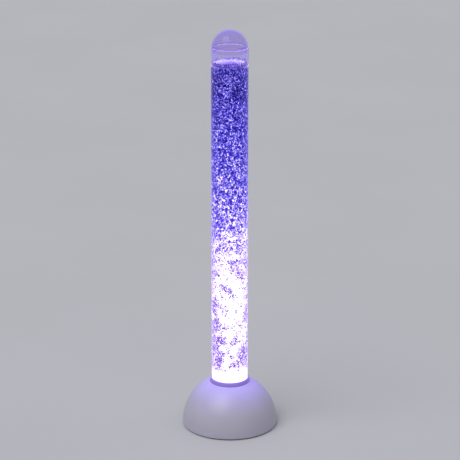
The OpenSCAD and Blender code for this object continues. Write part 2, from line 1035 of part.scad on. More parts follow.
// One light chip with a round window in its face
module led_chip() {
  difference() {
    translate([-chip_w / 2, -chip_w / 2, 0])
      cube([chip_w, chip_w, chip_h]);
    translate([0, 0, chip_h - ease])
      cylinder(r = chip_w * 0.4, h = past);
  }
}

module led_chips() {
  color([1, 0.95, 0.8])
    translate([0, 0, led_top]) {
      ring_of(inner_count, inner_ring, 180 / inner_count)
        led_chip();
      ring_of(outer_count, outer_ring)
        led_chip();
    }
}

module led_board_screws() {
  color(steel)
    ring_of(3, led_screw_ring, led_screw_turn)
      translate([0, 0, led_top])
        pan_screw(small_head_r, small_screw_r, led_board_t + led_screw_tip, small_head_h);
}

// ---- Control board ----

module control_board() {
  color(board_green)
    at_board()
      difference() {
        translate([-board_w / 2, -board_l / 2, 0])
          cube([board_w, board_l, board_t]);
        translate([0, 0, -past])
          at_standoffs()
            cylinder(r = small_screw_r + slip, h = board_t + 2 * past);
      }
}

module board_standoffs() {
  color(nickel)
    translate([board_off, 0, plate_top])
      at_standoffs()
        difference() {
          cylinder(r = standoff_r, h = standoff_h);
          translate([0, 0, -past])
            cylinder(r = small_screw_r + slip, h = standoff_h + 2 * past);
        }
}

module board_screws() {
  color(steel)
    at_board(board_t)
      at_standoffs()
        pan_screw(small_head_r, small_screw_r, board_t + standoff_h + plate_t - slip, small_head_h);
}

// The remote control's receiver: a small board under a screening can
module radio_module() {
  color(steel)
    at_board(board_t)
      translate(receiver_spot)
        union() {
          translate([-receiver_size[0] / 2, -receiver_size[1] / 2, 0])
            cube(receiver_size);
          translate([-can_size[0] / 2, -can_size[1] / 2, receiver_size[2]])
            cube(can_size);
        }
}

module board_capacitors() {
  color(dark)
    at_board(board_t)
      for (c = capacitors)
        translate([c[0], c[1], 0])
          cylinder(r = c[2], h = c[3]);
}

// Screw terminals on the control board, and the plug-in connector on the light board
module wire_connectors() {
  color([0.1, 0.35, 0.2]) {
    at_board(board_t) {
      for (y = [pump_block_y, led_block_y])
        translate([-board_w / 2 + block_in, y - block_w / 2, 0])
          terminal_block();
      translate([block_w / 2, board_l / 2 - block_in - block_d, 0])
        rotate([0, 0, 90])
          terminal_block();
    }
    translate([led_plug_x, -led_plug_l / 2, led_top])
      cube([led_plug_w, led_plug_l, led_plug_h]);
  }
}

// A two-way block, with its screw wells in its top
module terminal_block() {
  difference() {
    cube([block_d, block_w, block_h]);
    for (y = [block_w / 4, block_w * 3 / 4])
      translate([block_d / 2, y, block_h - well_deep])
        cylinder(r = well_r, h = well_deep + past);
  }
}

// Three power transistors on end, and the controller chip
module driver_chips() {
  color(black)
    at_board(board_t) {
      for (y = driver_ys)
        translate([driver_x, y, 0])
          cube(driver_size);
      translate([controller_x, controller_in - board_l / 2, 0])
        cube(controller_size);
    }
}

// ---- Leads ----

module led_lead() {
  color(black)
    lead([
      [board_off - board_w / 2 + block_in, led_block_y, plug_z],
      [turn_x, led_block_y, plug_z],
      [turn_x, led_block_y, thin_lead_z],
      [led_lead_x, 0, thin_lead_z],
      [led_lead_x, 0, led_lead_z],
      [led_plug_x, 0, led_lead_z]
    ], thin_lead_r);
}

module pump_lead() {
  color(black)
    lead([
      [board_off - board_w / 2 + block_in, pump_block_y, plug_z],
      [turn_x, pump_block_y, plug_z],
      [turn_x, pump_block_y, pump_lead_z],
      [-pump_lead_x, pump_lead_y, pump_lead_z],
      [-pump_lead_x, pump_lead_y, pump_z + arm_z],
      [-pump_off + coil_x, pump_lead_y, pump_z + arm_z]
    ], pump_lead_r);
}

// From the power inlet to the switch, and from the switch to the control board
module power_lead() {
  color(black) {
    lead([
      [inlet_x, inlet_back, panel_mid_z],
      [inlet_x, jumper_y, panel_mid_z],
      [switch_x - tail_gap, jumper_y, panel_mid_z],
      [switch_x - tail_gap, panel_front - switch_len, panel_mid_z]
    ], thin_lead_r);
    lead([
      [switch_x + tail_gap, panel_front - switch_len, panel_mid_z],
      [switch_x + tail_gap, power_turn_y, panel_mid_z],
      [switch_x + tail_gap, power_turn_y, thin_lead_z],
      [board_off, power_end_y, thin_lead_z],
      [board_off, power_end_y, plug_z],
      [board_off, board_l / 2 - block_in, plug_z]
    ], thin_lead_r);
  }
}

// ---- Air pump ----

module pump_case() {
  color(dark)
    at_pump()
      difference() {
        union() {
          difference() {
            translate([-pump_w / 2, -pump_l / 2, 0])
              cube([pump_w, pump_l, pump_case_h]);
            translate([-pump_in_w / 2, -pump_in_l / 2, pump_floor])
              cube([pump_in_w, pump_in_l, pump_case_h]);
          }
          at_posts()
            cylinder(r = post_r, h = pump_case_h);
          translate([-core_w / 2, core_y, pump_floor / 2])
            cube([core_w, yoke_t + leg_len, core_low - pump_floor / 2]);
          translate([-grommet_w / 2, arm_end - grommet_l, pump_floor / 2])
            cube([grommet_w, grommet_l, arm_z - (grommet_h + pump_floor) / 2]);
        }
        at_posts() {
          translate([0, 0, -past])
            cylinder(r = small_screw_r + hair, h = pump_screw_len + past);
          translate([0, 0, pump_case_h - pump_screw_len])
            cylinder(r = small_screw_r + hair, h = pump_screw_len + past);
        }
        side_hole(0, line_z - pump_z, barb_r + slip);
        side_hole(pump_lead_y, arm_z, pump_lead_r + hair);
      }
}

// A hole through the case's inner side wall
module side_hole(y, z, r) {
  translate([pump_in_w / 2 - past, y, z])
    rotate([0, 90, 0])
      cylinder(r = r, h = pump_wall + 2 * past);
}

module pump_cover() {
  lip_w = pump_in_w - 2 * ease;
  lip_l = pump_in_l - 2 * ease;
  color(dark)
    at_pump()
      difference() {
        union() {
          translate([-pump_w / 2, -pump_l / 2, pump_case_h])
            cube([pump_w, pump_l, pump_cover_t]);
          difference() {
            translate([-lip_w / 2, -lip_l / 2, pump_case_h - cover_lip_h])
              cube([lip_w, lip_l, cover_lip_h + pump_cover_t / 2]);
            translate([-lip_w / 2 + cover_lip_t, -lip_l / 2 + cover_lip_t, 0])
              cube([lip_w - 2 * cover_lip_t, lip_l - 2 * cover_lip_t, pump_case_h]);
            at_posts()
              cylinder(r = post_r + ease, h = pump_case_h);
          }
        }
        at_posts()
          cylinder(r = small_screw_r + slip, h = pump_case_h + pump_cover_t + past);
      }
}

module pump_cover_screws() {
  color(steel)
    at_pump()
      translate([0, 0, pump_case_h + pump_cover_t])
        at_posts()
          pan_screw(small_head_r, small_screw_r, pump_cover_t + pump_screw_len - past, small_head_h);
}

module pump_mounts() {
  color(rubber_grey)
    translate([-pump_off, 0, plate_top])
      at_posts()
        difference() {
          cylinder(r = post_r + past, h = pump_mount_h);
          translate([0, 0, -past])
            cylinder(r = small_screw_r + slip, h = pump_mount_h + 2 * past);
        }
}

module pump_mount_screws() {
  color(steel)
    translate([-pump_off, 0, plate_z])
      at_posts()
        screw_up(
          small_head_r,
          small_screw_r,
          plate_t + pump_mount_h + pump_screw_len - past,
          small_head_h
        );
}

// A U of iron: the yoke stands behind, and its two legs end at the arm's magnet
module pump_core() {
  color(steel)
    at_pump()
      difference() {
        translate([-core_w / 2, core_y, core_low])
          cube([core_w, yoke_t + leg_len, pole_gap_h + 2 * leg_t]);
        translate([-core_w, core_y + yoke_t, core_low + leg_t])
          cube([2 * core_w, leg_len + past, pole_gap_h]);
      }
}

module pump_coil() {
  color(copper)
    at_pump()
      difference() {
        translate([-coil_x, core_y - coil_over, arm_z - pole_gap_h / 2 + ease])
          cube([2 * coil_x, yoke_t + 2 * coil_over, pole_gap_h - 2 * ease]);
        translate([-core_w / 2 - ease, core_y - ease, core_low])
          cube([core_w + 2 * ease, yoke_t + 2 * ease, pole_gap_h + 2 * leg_t]);
      }
}

module pump_arm() {
  color(alloy)
    at_pump()
      translate([-arm_w / 2, arm_y, arm_z - arm_t / 2])
        cube([arm_w, arm_end - arm_y, arm_t]);
}

module arm_magnet() {
  color(steel)
    at_pump()
      translate([-magnet_w / 2, magnet_y, arm_z - magnet_h / 2])
        cube([magnet_w, magnet_t, magnet_h]);
}

module arm_grommet() {
  color(rubber_grey)
    at_pump()
      difference() {
        translate([-grommet_w / 2, arm_end - grommet_l, arm_z - grommet_h / 2])
          cube([grommet_w, grommet_l, grommet_h]);
        translate([-arm_w / 2 - ease, arm_end - grommet_l - past, arm_z - arm_t / 2 - slot_ease])
          cube([arm_w + 2 * ease, grommet_l + 2 * past, arm_t + 2 * slot_ease]);
      }
}

// A rubber bell, open below, between the valve box and the arm
module pump_diaphragm() {
  bell_h = arm_z - arm_t / 2 - valve_box_top;
  top_r = diaphragm_r / 2;
  skin = 1.2;
  color(rubber_grey)
    at_pump()
      translate([0, diaphragm_y, valve_box_top])
        rotate_extrude()
          polygon([
            [0, bell_h],
            [top_r, bell_h],
            [top_r, bell_h - skin],
            [diaphragm_r - skin, 2 * skin],
            [diaphragm_r - skin, skin],
            [diaphragm_r, skin],
            [diaphragm_r, 0],
            [diaphragm_r - 2 * skin, 0],
            [diaphragm_r - 2 * skin, 2 * skin],
            [top_r - skin, bell_h - 2 * skin],
            [0, bell_h - 2 * skin]
          ]);
}

// The valve box, with its air way from the bell to the nipple
module pump_valve_box() {
  line = line_z - pump_z;
  color(soft_white)
    at_pump()
      difference() {
        union() {
          translate([-valve_box_w / 2, valve_box_y, pump_floor])
            cube([valve_box_w, valve_box_end - valve_box_y, valve_box_top - pump_floor]);
          translate([0, 0, line])
            rotate([0, 90, 0])
              cylinder(r = barb_r, h = pump_off - nipple_x);
        }
        translate([0, diaphragm_y, line])
          cylinder(r = air_bore_r, h = valve_box_top);
        translate([0, diaphragm_y, line])
          rotate([90, 0, 0])
            cylinder(r = air_bore_r, h = diaphragm_y);
        translate([0, 0, line])
          rotate([0, 90, 0])
            cylinder(r = air_bore_r, h = pump_off);
      }
}

// ---- Air line ----

module hose_section() {
  difference() {
    circle(r = hose_r);
    circle(r = hose_id / 2);
  }
}

// A straight hose along +X
module hose_run(from_x, to_x) {
  translate([from_x, 0, line_z])
    rotate([0, 90, 0])
      linear_extrude(height = to_x - from_x)
        hose_section();
}

module air_hoses() {
  color(soft_white) {
    hose_run(-pump_off + pump_w / 2 + ease, -valve_far - slip);
    union() {
      hose_run(-valve_x + slip, -hose_bend_r);
      translate([-hose_bend_r, 0, line_z + hose_bend_r])
        rotate([90, 0, 0])
          rotate([0, 0, -90])
            rotate_extrude(angle = 90)
              translate([hose_bend_r, 0])
                hose_section();
      translate([0, 0, line_z + hose_bend_r])
        linear_extrude(height = stem_foot - slip - line_z - hose_bend_r)
          hose_section();
    }
  }
}

module check_valve_inlet() {
  color([0.80, 0.85, 0.95, 0.7])
    translate([-valve_far, 0, line_z])
      difference() {
        union() {
          rotate([0, 90, 0])
            cylinder(r = valve_r, h = valve_half);
          mirror([1, 0, 0])
            side_barb();
        }
        rotate([0, 90, 0]) {
          translate([0, 0, -valve_barb - past])
            cylinder(r = air_bore_r, h = 2 * valve_barb + valve_half);
          translate([0, 0, valve_half - cavity_len / 2])
            cylinder(r = cavity_r, h = cavity_len);
        }
      }
}

module check_valve_outlet() {
  color(soft_white)
    translate([-valve_mid, 0, line_z])
      difference() {
        union() {
          rotate([0, 90, 0])
            cylinder(r = valve_r, h = valve_half);
          translate([valve_half, 0, 0])
            side_barb();
        }
        rotate([0, 90, 0]) {
          translate([0, 0, -past])
            cylinder(r = air_bore_r, h = 2 * valve_barb + valve_half);
          translate([0, 0, -cavity_len / 2])
            cylinder(r = cavity_r, h = cavity_len);
        }
      }
}

module check_valve_disc() {
  color(rubber_grey)
    translate([-valve_mid - cavity_len / 2, 0, line_z])
      rotate([0, 90, 0])
        cylinder(r = disc_r, h = disc_t);
}

base_shell();
tube_collar();
collar_seal();
base_plate();
rubber_feet();
foot_screws();
base_screws();
rear_panel();
rear_panel_screws();
power_inlet();
power_inlet_pin();
power_inlet_nut();
switch_body();
switch_rocker();
main_tube();
end_plug();
plug_seal();
light_diffuser();
water_column();
air_stone();
inlet_stem();
inlet_washer();
inlet_nut();
tube_socket();
socket_screws();
dome_cap();
cap_sleeve();
carrier_plate();
carrier_pillars();
pillar_screws();
led_board();
led_chips();
led_board_screws();
control_board();
board_standoffs();
board_screws();
radio_module();
board_capacitors();
wire_connectors();
driver_chips();
led_lead();
pump_lead();
power_lead();
pump_case();
pump_cover();
pump_cover_screws();
pump_mounts();
pump_mount_screws();
pump_core();
pump_coil();
pump_arm();
arm_magnet();
arm_grommet();
pump_diaphragm();
pump_valve_box();
air_hoses();
check_valve_inlet();
check_valve_outlet();
check_valve_disc();
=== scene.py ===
"""A bubble tube floor lamp: the looks built round its packed construction model."""
import math

import bpy
import numpy as np
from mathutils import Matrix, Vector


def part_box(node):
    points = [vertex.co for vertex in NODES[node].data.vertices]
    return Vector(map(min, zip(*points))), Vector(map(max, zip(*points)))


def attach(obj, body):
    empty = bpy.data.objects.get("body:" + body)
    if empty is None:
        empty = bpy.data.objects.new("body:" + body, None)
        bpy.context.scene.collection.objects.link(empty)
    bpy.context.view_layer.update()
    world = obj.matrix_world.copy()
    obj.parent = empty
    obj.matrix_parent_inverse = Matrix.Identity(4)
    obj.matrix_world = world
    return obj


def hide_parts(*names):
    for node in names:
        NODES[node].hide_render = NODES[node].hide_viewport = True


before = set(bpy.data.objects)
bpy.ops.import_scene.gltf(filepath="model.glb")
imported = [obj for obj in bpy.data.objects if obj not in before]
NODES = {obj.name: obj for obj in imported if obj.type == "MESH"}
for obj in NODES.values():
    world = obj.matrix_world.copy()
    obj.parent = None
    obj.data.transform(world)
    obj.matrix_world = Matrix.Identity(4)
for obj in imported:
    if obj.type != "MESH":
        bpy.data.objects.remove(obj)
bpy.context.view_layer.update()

RNG = np.random.default_rng(20240511)

# Sizes in metres, as in the construction model. BORE_R is the radius of the tube's bore, and DOME_Z
# the height of the middle of the ball that the base's dome is cut from
BORE_R = 0.050
DOME_Z = 0.008
RIM_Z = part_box("main_tube")[1].z
WATER_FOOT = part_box("water_column")[0].z
WATER_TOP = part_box("water_column")[1].z
STONE_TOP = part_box("air_stone")[1].z
COLLAR_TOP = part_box("tube_collar")[1].z
DOME_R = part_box("base_shell")[1].x
SLEEVE_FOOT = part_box("cap_sleeve")[0].z
CAP_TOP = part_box("dome_cap")[1].z

# The water's side reaches this far into the tube's wall, so that no air lies between them
WALL_BITE = 0.00018

# The level of the water's face, the radius where its wet rim begins, and how far that rim climbs
FACE_Z = WATER_TOP - 0.0012
CLIMB_FROM = 0.0465
CLIMB = 0.0055

# The swarm of bubbles fills the water from just above the stone to just under the surface
SWARM_FOOT = STONE_TOP + 0.001
SWARM_TOP = WATER_TOP - 0.0026
CORE_R = 0.0432

# A bubble is a ball of a few rings of points between two poles
BALL_RINGS, BALL_COLS = 4, 8
BALL_POINTS = BALL_RINGS * BALL_COLS + 2

# Radians: from seed to seed in a sunflower, and the most that a random turn is drawn
GOLDEN_ANGLE = 2.399963
ANY_TURN = 6.28

# Strength of the light in the swarm. The colours of the glow are given as shares of it
GLOW = 2.6

# How strongly clear plastic and water bend light: their index of refraction
PLASTIC_BEND = 1.49
WATER_BEND = 1.33


# ---- Meshes from arrays ----

def ring_turns(cols):
    """The turns of a ring's points, as one row."""
    return np.linspace(0, 2 * np.pi, cols, endpoint=False)[None, :]


def grid_quads(rows, cols):
    """Quads of a grid of rows x cols points whose columns close into a ring, wound to face outwards
    when the rows climb and the columns run anticlockwise."""
    r, c = np.meshgrid(np.arange(rows - 1), np.arange(cols), indexing="ij")
    n = (c + 1) % cols
    quads = np.stack([r * cols + c, r * cols + n, (r + 1) * cols + n, (r + 1) * cols + c], axis=-1)
    return quads.reshape(-1, 4)


def pole_fans(first_ring, last_ring, cols, foot, head):
    """Triangles that close a ringed surface at its foot point and at its head point. All but cols
    are point numbers."""
    c = np.arange(cols)
    n = (c + 1) % cols
    low = np.stack([np.full(cols, foot), first_ring + n, first_ring + c], axis=-1)
    high = np.stack([np.full(cols, head), last_ring + c, last_ring + n], axis=-1)
    return np.concatenate([low, high])


def mesh_piece(name, points, quads, tris, body="stand", slot=None, **values):
    """Puts point, quad and triangle arrays into a new mesh object that rides on a body. Each extra
    keyword is an attribute with one number for every point."""
    mesh = bpy.data.meshes.new(name)
    corners = np.concatenate([quads.ravel(), tris.ravel()]).astype(np.int32)
    sizes = np.concatenate([np.full(len(quads), 4), np.full(len(tris), 3)])
    starts = np.concatenate([[0], np.cumsum(sizes)[:-1]]).astype(np.int32)
    mesh.vertices.add(len(points))
    mesh.vertices.foreach_set("co", points.astype(np.float32).ravel())
    mesh.loops.add(len(corners))
    mesh.loops.foreach_set("vertex_index", corners)
    mesh.polygons.add(len(sizes))
    mesh.polygons.foreach_set("loop_start", starts)
    mesh.polygons.foreach_set("use_smooth", np.full(len(sizes), True))
    for label, numbers in values.items():
        layer = mesh.attributes.new(label, "FLOAT", "POINT")
        layer.data.foreach_set("value", np.asarray(numbers, np.float32).ravel())
    mesh.update()
    mesh.validate()
    piece = bpy.data.objects.new(name, mesh)
    bpy.context.scene.collection.objects.link(piece)
    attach(piece, body)
    return piece


def turned(name, radius, height, cols, **options):
    """A closed turned body. radius and height are arrays of rows x cols: point (i, j) stands at the
    angle 2 pi j / cols, radius[i, j] from the axis, at height[i, j]. Its two ends close on the axis
    at the mean height of their rings."""
    rows = radius.shape[0]
    turn = ring_turns(cols)
    ring = np.stack([radius * np.cos(turn), radius * np.sin(turn), height], axis=-1).reshape(-1, 3)
    ends = np.array([[0, 0, height[0].mean()], [0, 0, height[-1].mean()]])
    points = np.concatenate([ring, ends])
    tris = pole_fans(0, (rows - 1) * cols, cols, rows * cols, rows * cols + 1)
    return mesh_piece(name, points, grid_quads(rows, cols), tris, **options)


def bubble_batch(name, centre, across, along, depth, lean, out, up, squat=0.72, **options):
    """Many small bubbles in one mesh. Each is a ball of rings of points between two poles on the
    outward line. In its own frame, with side s, rise u and outward w, a point at the polar
    angle p and the turn q is (sin p cos q, sin p sin q, cos p) times the bubble's half width, half
    height and half depth. Two waves round q make the outline uneven, by 13 % and 9 %, the lower
    half is squat times as high as the upper one, and lean turns it about the outward line."""
    count = len(centre)
    polar = np.pi * np.arange(1, BALL_RINGS + 1) / (BALL_RINGS + 1)
    turn = 2 * np.pi * np.arange(BALL_COLS) / BALL_COLS
    p, q = np.meshgrid(polar, turn, indexing="ij")
    p, q = p.ravel()[None], q.ravel()[None]
    wave = 1 + 0.13 * np.cos(2 * q + RNG.uniform(0, ANY_TURN, (count, 1))) \
        + 0.09 * np.cos(3 * q + RNG.uniform(0, ANY_TURN, (count, 1)))
    s = np.sin(p) * np.cos(q) * wave
    u = np.sin(p) * np.sin(q) * wave
    w = np.broadcast_to(np.cos(p), s.shape)
    s, u, w = [
        np.concatenate([a, np.full((count, 1), b), np.full((count, 1), c)], axis=1)
        for a, b, c in ((s, 0, 0), (u, 0, 0), (w, 1, -1))
    ]
    rim = np.sqrt(np.clip(1 - w * w, 0, 1))
    u = np.where(u < 0, squat * u, u)
    s, u, w = s * across[:, None], u * along[:, None], w * depth[:, None]
    c, d = np.cos(lean)[:, None], np.sin(lean)[:, None]
    s, u = c * s - d * u, d * s + c * u
    side = np.cross(up, out)
    points = (centre[:, None] + s[..., None] * side[:, None] + u[..., None] * up[:, None]
              + w[..., None] * out[:, None])
    first = (np.arange(count) * BALL_POINTS)[:, None, None]
    fans = pole_fans(0, (BALL_RINGS - 1) * BALL_COLS, BALL_COLS, BALL_POINTS - 2, BALL_POINTS - 1)
    quads = (grid_quads(BALL_RINGS, BALL_COLS)[:, ::-1][None] + first).reshape(-1, 4)
    tris = (fans[:, ::-1][None] + first).reshape(-1, 3)
    shine = np.repeat(RNG.uniform(0, 1, count), BALL_POINTS)
    return mesh_piece(name, points.reshape(-1, 3), quads, tris, rim=rim.ravel(), shine=shine, **options)


def bubbles_on_wall(name, count, smallest, largest, reach, stretch, **options):
    """Bubbles spread over the wall of the bore: a lattice of turns and heights, each point moved at
    random inside its own cell. Each bubble is up to stretch times longer than wide, its length lies
    in any direction along the wall, and its outermost point is at the radius reach or up to 1.2 mm
    further in."""
    length = SWARM_TOP - SWARM_FOOT
    cell = math.sqrt(2 * math.pi * BORE_R * length / count)
    cols = int(2 * math.pi * BORE_R / cell)
    rows = int(count / cols)
    i, j = [a.ravel() for a in np.meshgrid(np.arange(rows), np.arange(cols), indexing="ij")]
    total = len(i)
    turn = 2 * np.pi * (j + 0.5 * (i % 2) + RNG.uniform(-0.48, 0.48, total)) / cols
    mean = smallest + (largest - smallest) * RNG.uniform(0, 1, total) ** 1.5
    long = np.sqrt(RNG.uniform(1.0, stretch, total))
    depth = 0.62 * mean
    rise = SWARM_FOOT + largest + (length - 1.4 * largest) * (i + RNG.uniform(0.02, 0.98, total)) / rows
    further_in = RNG.uniform(0, 0.0012, total)
    out = np.stack([np.cos(turn), np.sin(turn), np.zeros(total)], axis=-1)
    centre = out * (reach - depth - further_in)[:, None]
    centre[:, 2] = rise
    up = np.broadcast_to([0.0, 0.0, 1.0], out.shape)
    lean = RNG.uniform(-1.5, 1.5, total)
    return bubble_batch(name, centre, 0.88 * mean * long, mean / long, depth, lean, out, up, **options)


# ---- Water and bubbles ----

def water_surface_height(radius, turn):
    """Height of the water's face: its level, a wet rim that the foam drags up the wall, and a
    ripple from the bursting bubbles. The rim rises with the square of the way past CLIMB_FROM, over
    3 mm. The ripple is the product of two sets of spiral waves that wind opposite ways round the
    axis, and it fades out within 20 mm of the axis."""
    climb = CLIMB * np.clip((radius - CLIMB_FROM) / 0.0030, 0, 1) ** 2
    ripple = 0.0007 * np.sin(5 * turn + 190 * radius) * np.cos(3 * turn - 260 * radius)
    return FACE_Z + climb + ripple * np.clip(radius / 0.02, 0, 1)


def make_water():
    """The water: a turned body that wets the bore, with a rippled face. Its profile runs from the
    foot up the wall and back to the axis over the face."""
    cols = 96
    turn = ring_turns(cols)
    wall_r = BORE_R + WALL_BITE
    foot = WATER_FOOT + 0.0002
    low_r = np.array([0.015, 0.034, wall_r])[:, None] + 0 * turn
    low_z = np.full_like(low_r, foot)
    wall_z = np.linspace(foot, WATER_TOP - 0.003, 24)[1:, None] + 0 * turn
    face_r = np.array([wall_r, 0.0495, 0.0491, 0.0486, 0.0480, 0.0472, 0.0464,
                       0.044, 0.038, 0.031, 0.024, 0.017, 0.010, 0.004])[:, None] + 0 * turn
    radius = np.concatenate([low_r, np.full_like(wall_z, wall_r), face_r])
    height = np.concatenate([low_z, wall_z, water_surface_height(face_r, turn)])
    return turned("water", radius, height, cols, slot="lit_water")


def make_swarm_core():
    """The dense middle of the swarm: a column whose radius swells and shrinks a little with three
    slow waves that climb round it, and rounds off at both ends, where its rows lie closer."""
    cols = 96
    turn = ring_turns(cols)
    closer = [0.0003, 0.0008, 0.0015, 0.9985, 0.9992, 0.9997]
    share = np.sort(np.concatenate([np.linspace(0, 1, 154), closer]))[:, None]
    height = SWARM_FOOT + share * (SWARM_TOP - SWARM_FOOT) + 0 * turn
    swell = (np.sin(3 * turn + 40 * share) + np.sin(5 * turn - 71 * share)
             + np.sin(2 * turn + 113 * share))
    ends = np.clip(np.minimum(share, 1 - share) / 0.0015, 0.0, 1) ** 0.5
    radius = (CORE_R + 0.00035 * swell) * (0.55 + 0.45 * ends)
    return turned("swarm_core", radius, height, cols, slot="lit_water")


def make_foam():
    """The foam on the water: bubbles on a sunflower spread (turn = golden angle times k, radius =
    k's share to the power 0.45, so that they crowd a little towards the wall), sunk by about a
    third in the face. The last third of them stands in a loose wreath against the wall, between
    the radii inner and outer and up to 5 mm above the face."""
    count, wreath = 1700, 620
    inner, outer = 0.0468, 0.0480
    k = np.arange(count)
    turn = k * GOLDEN_ANGLE + RNG.uniform(0, 0.4, count)
    radius = 0.0474 * ((k + 0.5) / (count - wreath)) ** 0.45
    against = k >= count - wreath
    radius = np.where(against, RNG.uniform(inner, outer, count), radius)
    lift = np.where(against, RNG.uniform(0.0, 0.0050, count), 0.0)
    size = RNG.uniform(0.0011, 0.0026, count) * (0.8 + 0.25 * radius / outer)
    radius = np.minimum(radius, 0.0497 - 1.2 * size)
    centre = np.stack([radius * np.cos(turn), radius * np.sin(turn),
                       water_surface_height(radius, turn) + 0.35 * size + lift], axis=-1)
    up = np.stack([-np.cos(turn), -np.sin(turn), np.zeros(count)], axis=-1)
    out = np.broadcast_to([0.0, 0.0, 1.0], up.shape)
    return bubble_batch("foam", centre, size, size * RNG.uniform(0.8, 1.1, count), 0.8 * size,
                        RNG.uniform(0, ANY_TURN, count), out, up, squat=1.0, slot="lit_water")


def make_wall_drops(name, count, low, high, reach, smallest, largest, crowd):
    """Drops that cling to the bore above the water, between the heights low and high. Their turns
    are random, and their heights crowd towards the low end by the power crowd."""
    turn = RNG.uniform(0, 2 * np.pi, count)
    rise = low + (high - low) * RNG.uniform(0, 1, count) ** crowd
    size = RNG.uniform(smallest, largest, count)
    depth = 0.45 * size
    out = np.stack([np.cos(turn), np.sin(turn), np.zeros(count)], axis=-1)
    centre = out * (reach - 0.75 * depth)[:, None]
    centre[:, 2] = rise
    up = np.broadcast_to([0.0, 0.0, 1.0], out.shape)
    return bubble_batch(name, centre, size, size * RNG.uniform(1.0, 1.6, count), depth,
                        RNG.normal(0, 0.25, count), out, up, squat=1.15, slot="lit_water")


water = make_water()
swarm_core = make_swarm_core()
large_bubbles = [
    bubbles_on_wall(f"bubbles_large_{k}", count=2600, smallest=0.0015, largest=0.0033, reach=0.0496,
                    stretch=2.8, slot="lit_water")
    for k in range(2)
]
small_bubbles = [
    bubbles_on_wall(f"bubbles_small_{k}", count=3000, smallest=0.0009, largest=0.0016, reach=0.0497,
                    stretch=2.0, slot="lit_water")
    for k in range(2)
]
foam = make_foam()
splash = make_wall_drops(
    "splash", count=460, low=WATER_TOP + 0.0012, high=WATER_TOP + 0.0115, reach=0.0498,
    smallest=0.0010, largest=0.0022, crowd=1.8)
mist = make_wall_drops(
    "mist", count=420, low=WATER_TOP + 0.010, high=RIM_Z - 0.014, reach=0.0499,
    smallest=0.0003, largest=0.0009, crowd=0.9)
for piece in [water, swarm_core, foam, splash, mist, *large_bubbles, *small_bubbles]:
    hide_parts("water_column")


# ---- Material tools ----

def set_inputs(tree, made, inputs):
    """Sets or links a node's sockets, given by name or by number."""
    for key, value in inputs.items():
        if isinstance(value, bpy.types.NodeSocket):
            tree.links.new(value, made.inputs[key])
        else:
            made.inputs[key].default_value = value


def node(tree, kind, inputs, **settings):
    """Adds a node with its settings and its sockets' values."""
    made = tree.nodes.new("ShaderNode" + kind)
    for key, value in settings.items():
        setattr(made, key, value)
    set_inputs(tree, made, inputs)
    return made


def maths(tree, operation, a, b=0.5, c=0.5, clamp=False):
    """One calculation with numbers, by Blender's name for it."""
    return node(tree, "Math", {0: a, 1: b, 2: c}, operation=operation, use_clamp=clamp).outputs[0]


def vector_maths(tree, operation, a, b=(0.0, 0.0, 0.0), output="Vector"):
    """One calculation with vectors. output is Value where the result is a number."""
    return node(tree, "VectorMath", {0: a, 1: b}, operation=operation).outputs[output]


def scaled(tree, colour, by):
    """A colour or a vector times a number."""
    return node(tree, "VectorMath", {0: colour, 3: by}, operation="SCALE").outputs["Vector"]


def height_of(tree, vector):
    """The part of a vector that points up."""
    return node(tree, "SeparateXYZ", {0: vector}).outputs["Z"]


def level_place(tree, place):
    """A place without its height, so that its length is the distance from the lamp's axis."""
    return vector_maths(tree, "MULTIPLY", place, (1.0, 1.0, 0.0))


def length_of(tree, vector):
    """A vector's length, as a number."""
    return vector_maths(tree, "LENGTH", vector, output="Value")


def blend(tree, share, a, b):
    """A colour mix: a where share is 0, b where it is 1."""
    return node(tree, "Mix", {0: share, 6: a, 7: b}, data_type="RGBA").outputs[2]


def steps(tree, share, stops):
    """A run of colours, or of greys where a stop holds one number, along share. The first two stops
    are the run's two ends, and the others lie between them."""
    made = node(tree, "ValToRGB", {"Fac": share})
    ramp = made.color_ramp
    for i, (at, colour) in enumerate(stops):
        colour = (colour,) * 3 if isinstance(colour, (int, float)) else colour
        spot = ramp.elements[i] if i < 2 else ramp.elements.new(at)
        spot.position = at
        spot.color = (*colour, 1)
    return made.outputs["Color"]


def spread(tree, value, low, high, to_low=0.0, to_high=1.0, smooth=False):
    """Stretches low to high over to_low to to_high, and holds the ends beyond them."""
    made = node(tree, "MapRange", {"Value": value, 1: low, 2: high, 3: to_low, 4: to_high},
                interpolation_type="SMOOTHSTEP" if smooth else "LINEAR")
    return made.outputs[0]


def noise(tree, vector, scale, detail=2.0):
    """Soft random clouds round 0.5, scale of them to a metre."""
    return node(tree, "TexNoise", {"Vector": vector, "Scale": scale, "Detail": detail}).outputs["Fac"]


def shared_effect(name, inputs, outputs, build):
    """A shader node group, built once. inputs are (name, kind, value) rows and outputs are (name,
    kind) rows. build gets the tree and the group's inputs, and returns a socket for each output."""
    tree = bpy.data.node_groups.new(name, "ShaderNodeTree")
    kinds = {"colour": "NodeSocketColor", "value": "NodeSocketFloat", "vector": "NodeSocketVector"}
    for label, kind, value in inputs:
        made = tree.interface.new_socket(label, in_out="INPUT", socket_type=kinds[kind])
        if value is not None:
            made.default_value = value
    for label, kind in outputs:
        tree.interface.new_socket(label, in_out="OUTPUT", socket_type=kinds[kind])
    entry = tree.nodes.new("NodeGroupInput")
    leave = tree.nodes.new("NodeGroupOutput")
    for label, socket in build(tree, entry.outputs).items():
        tree.links.new(socket, leave.inputs[label])
    return tree


def use(tree, effect, inputs):
    """Places a shared effect and returns its outputs."""
    made = tree.nodes.new("ShaderNodeGroup")
    made.node_tree = effect
    set_inputs(tree, made, inputs)
    return made.outputs


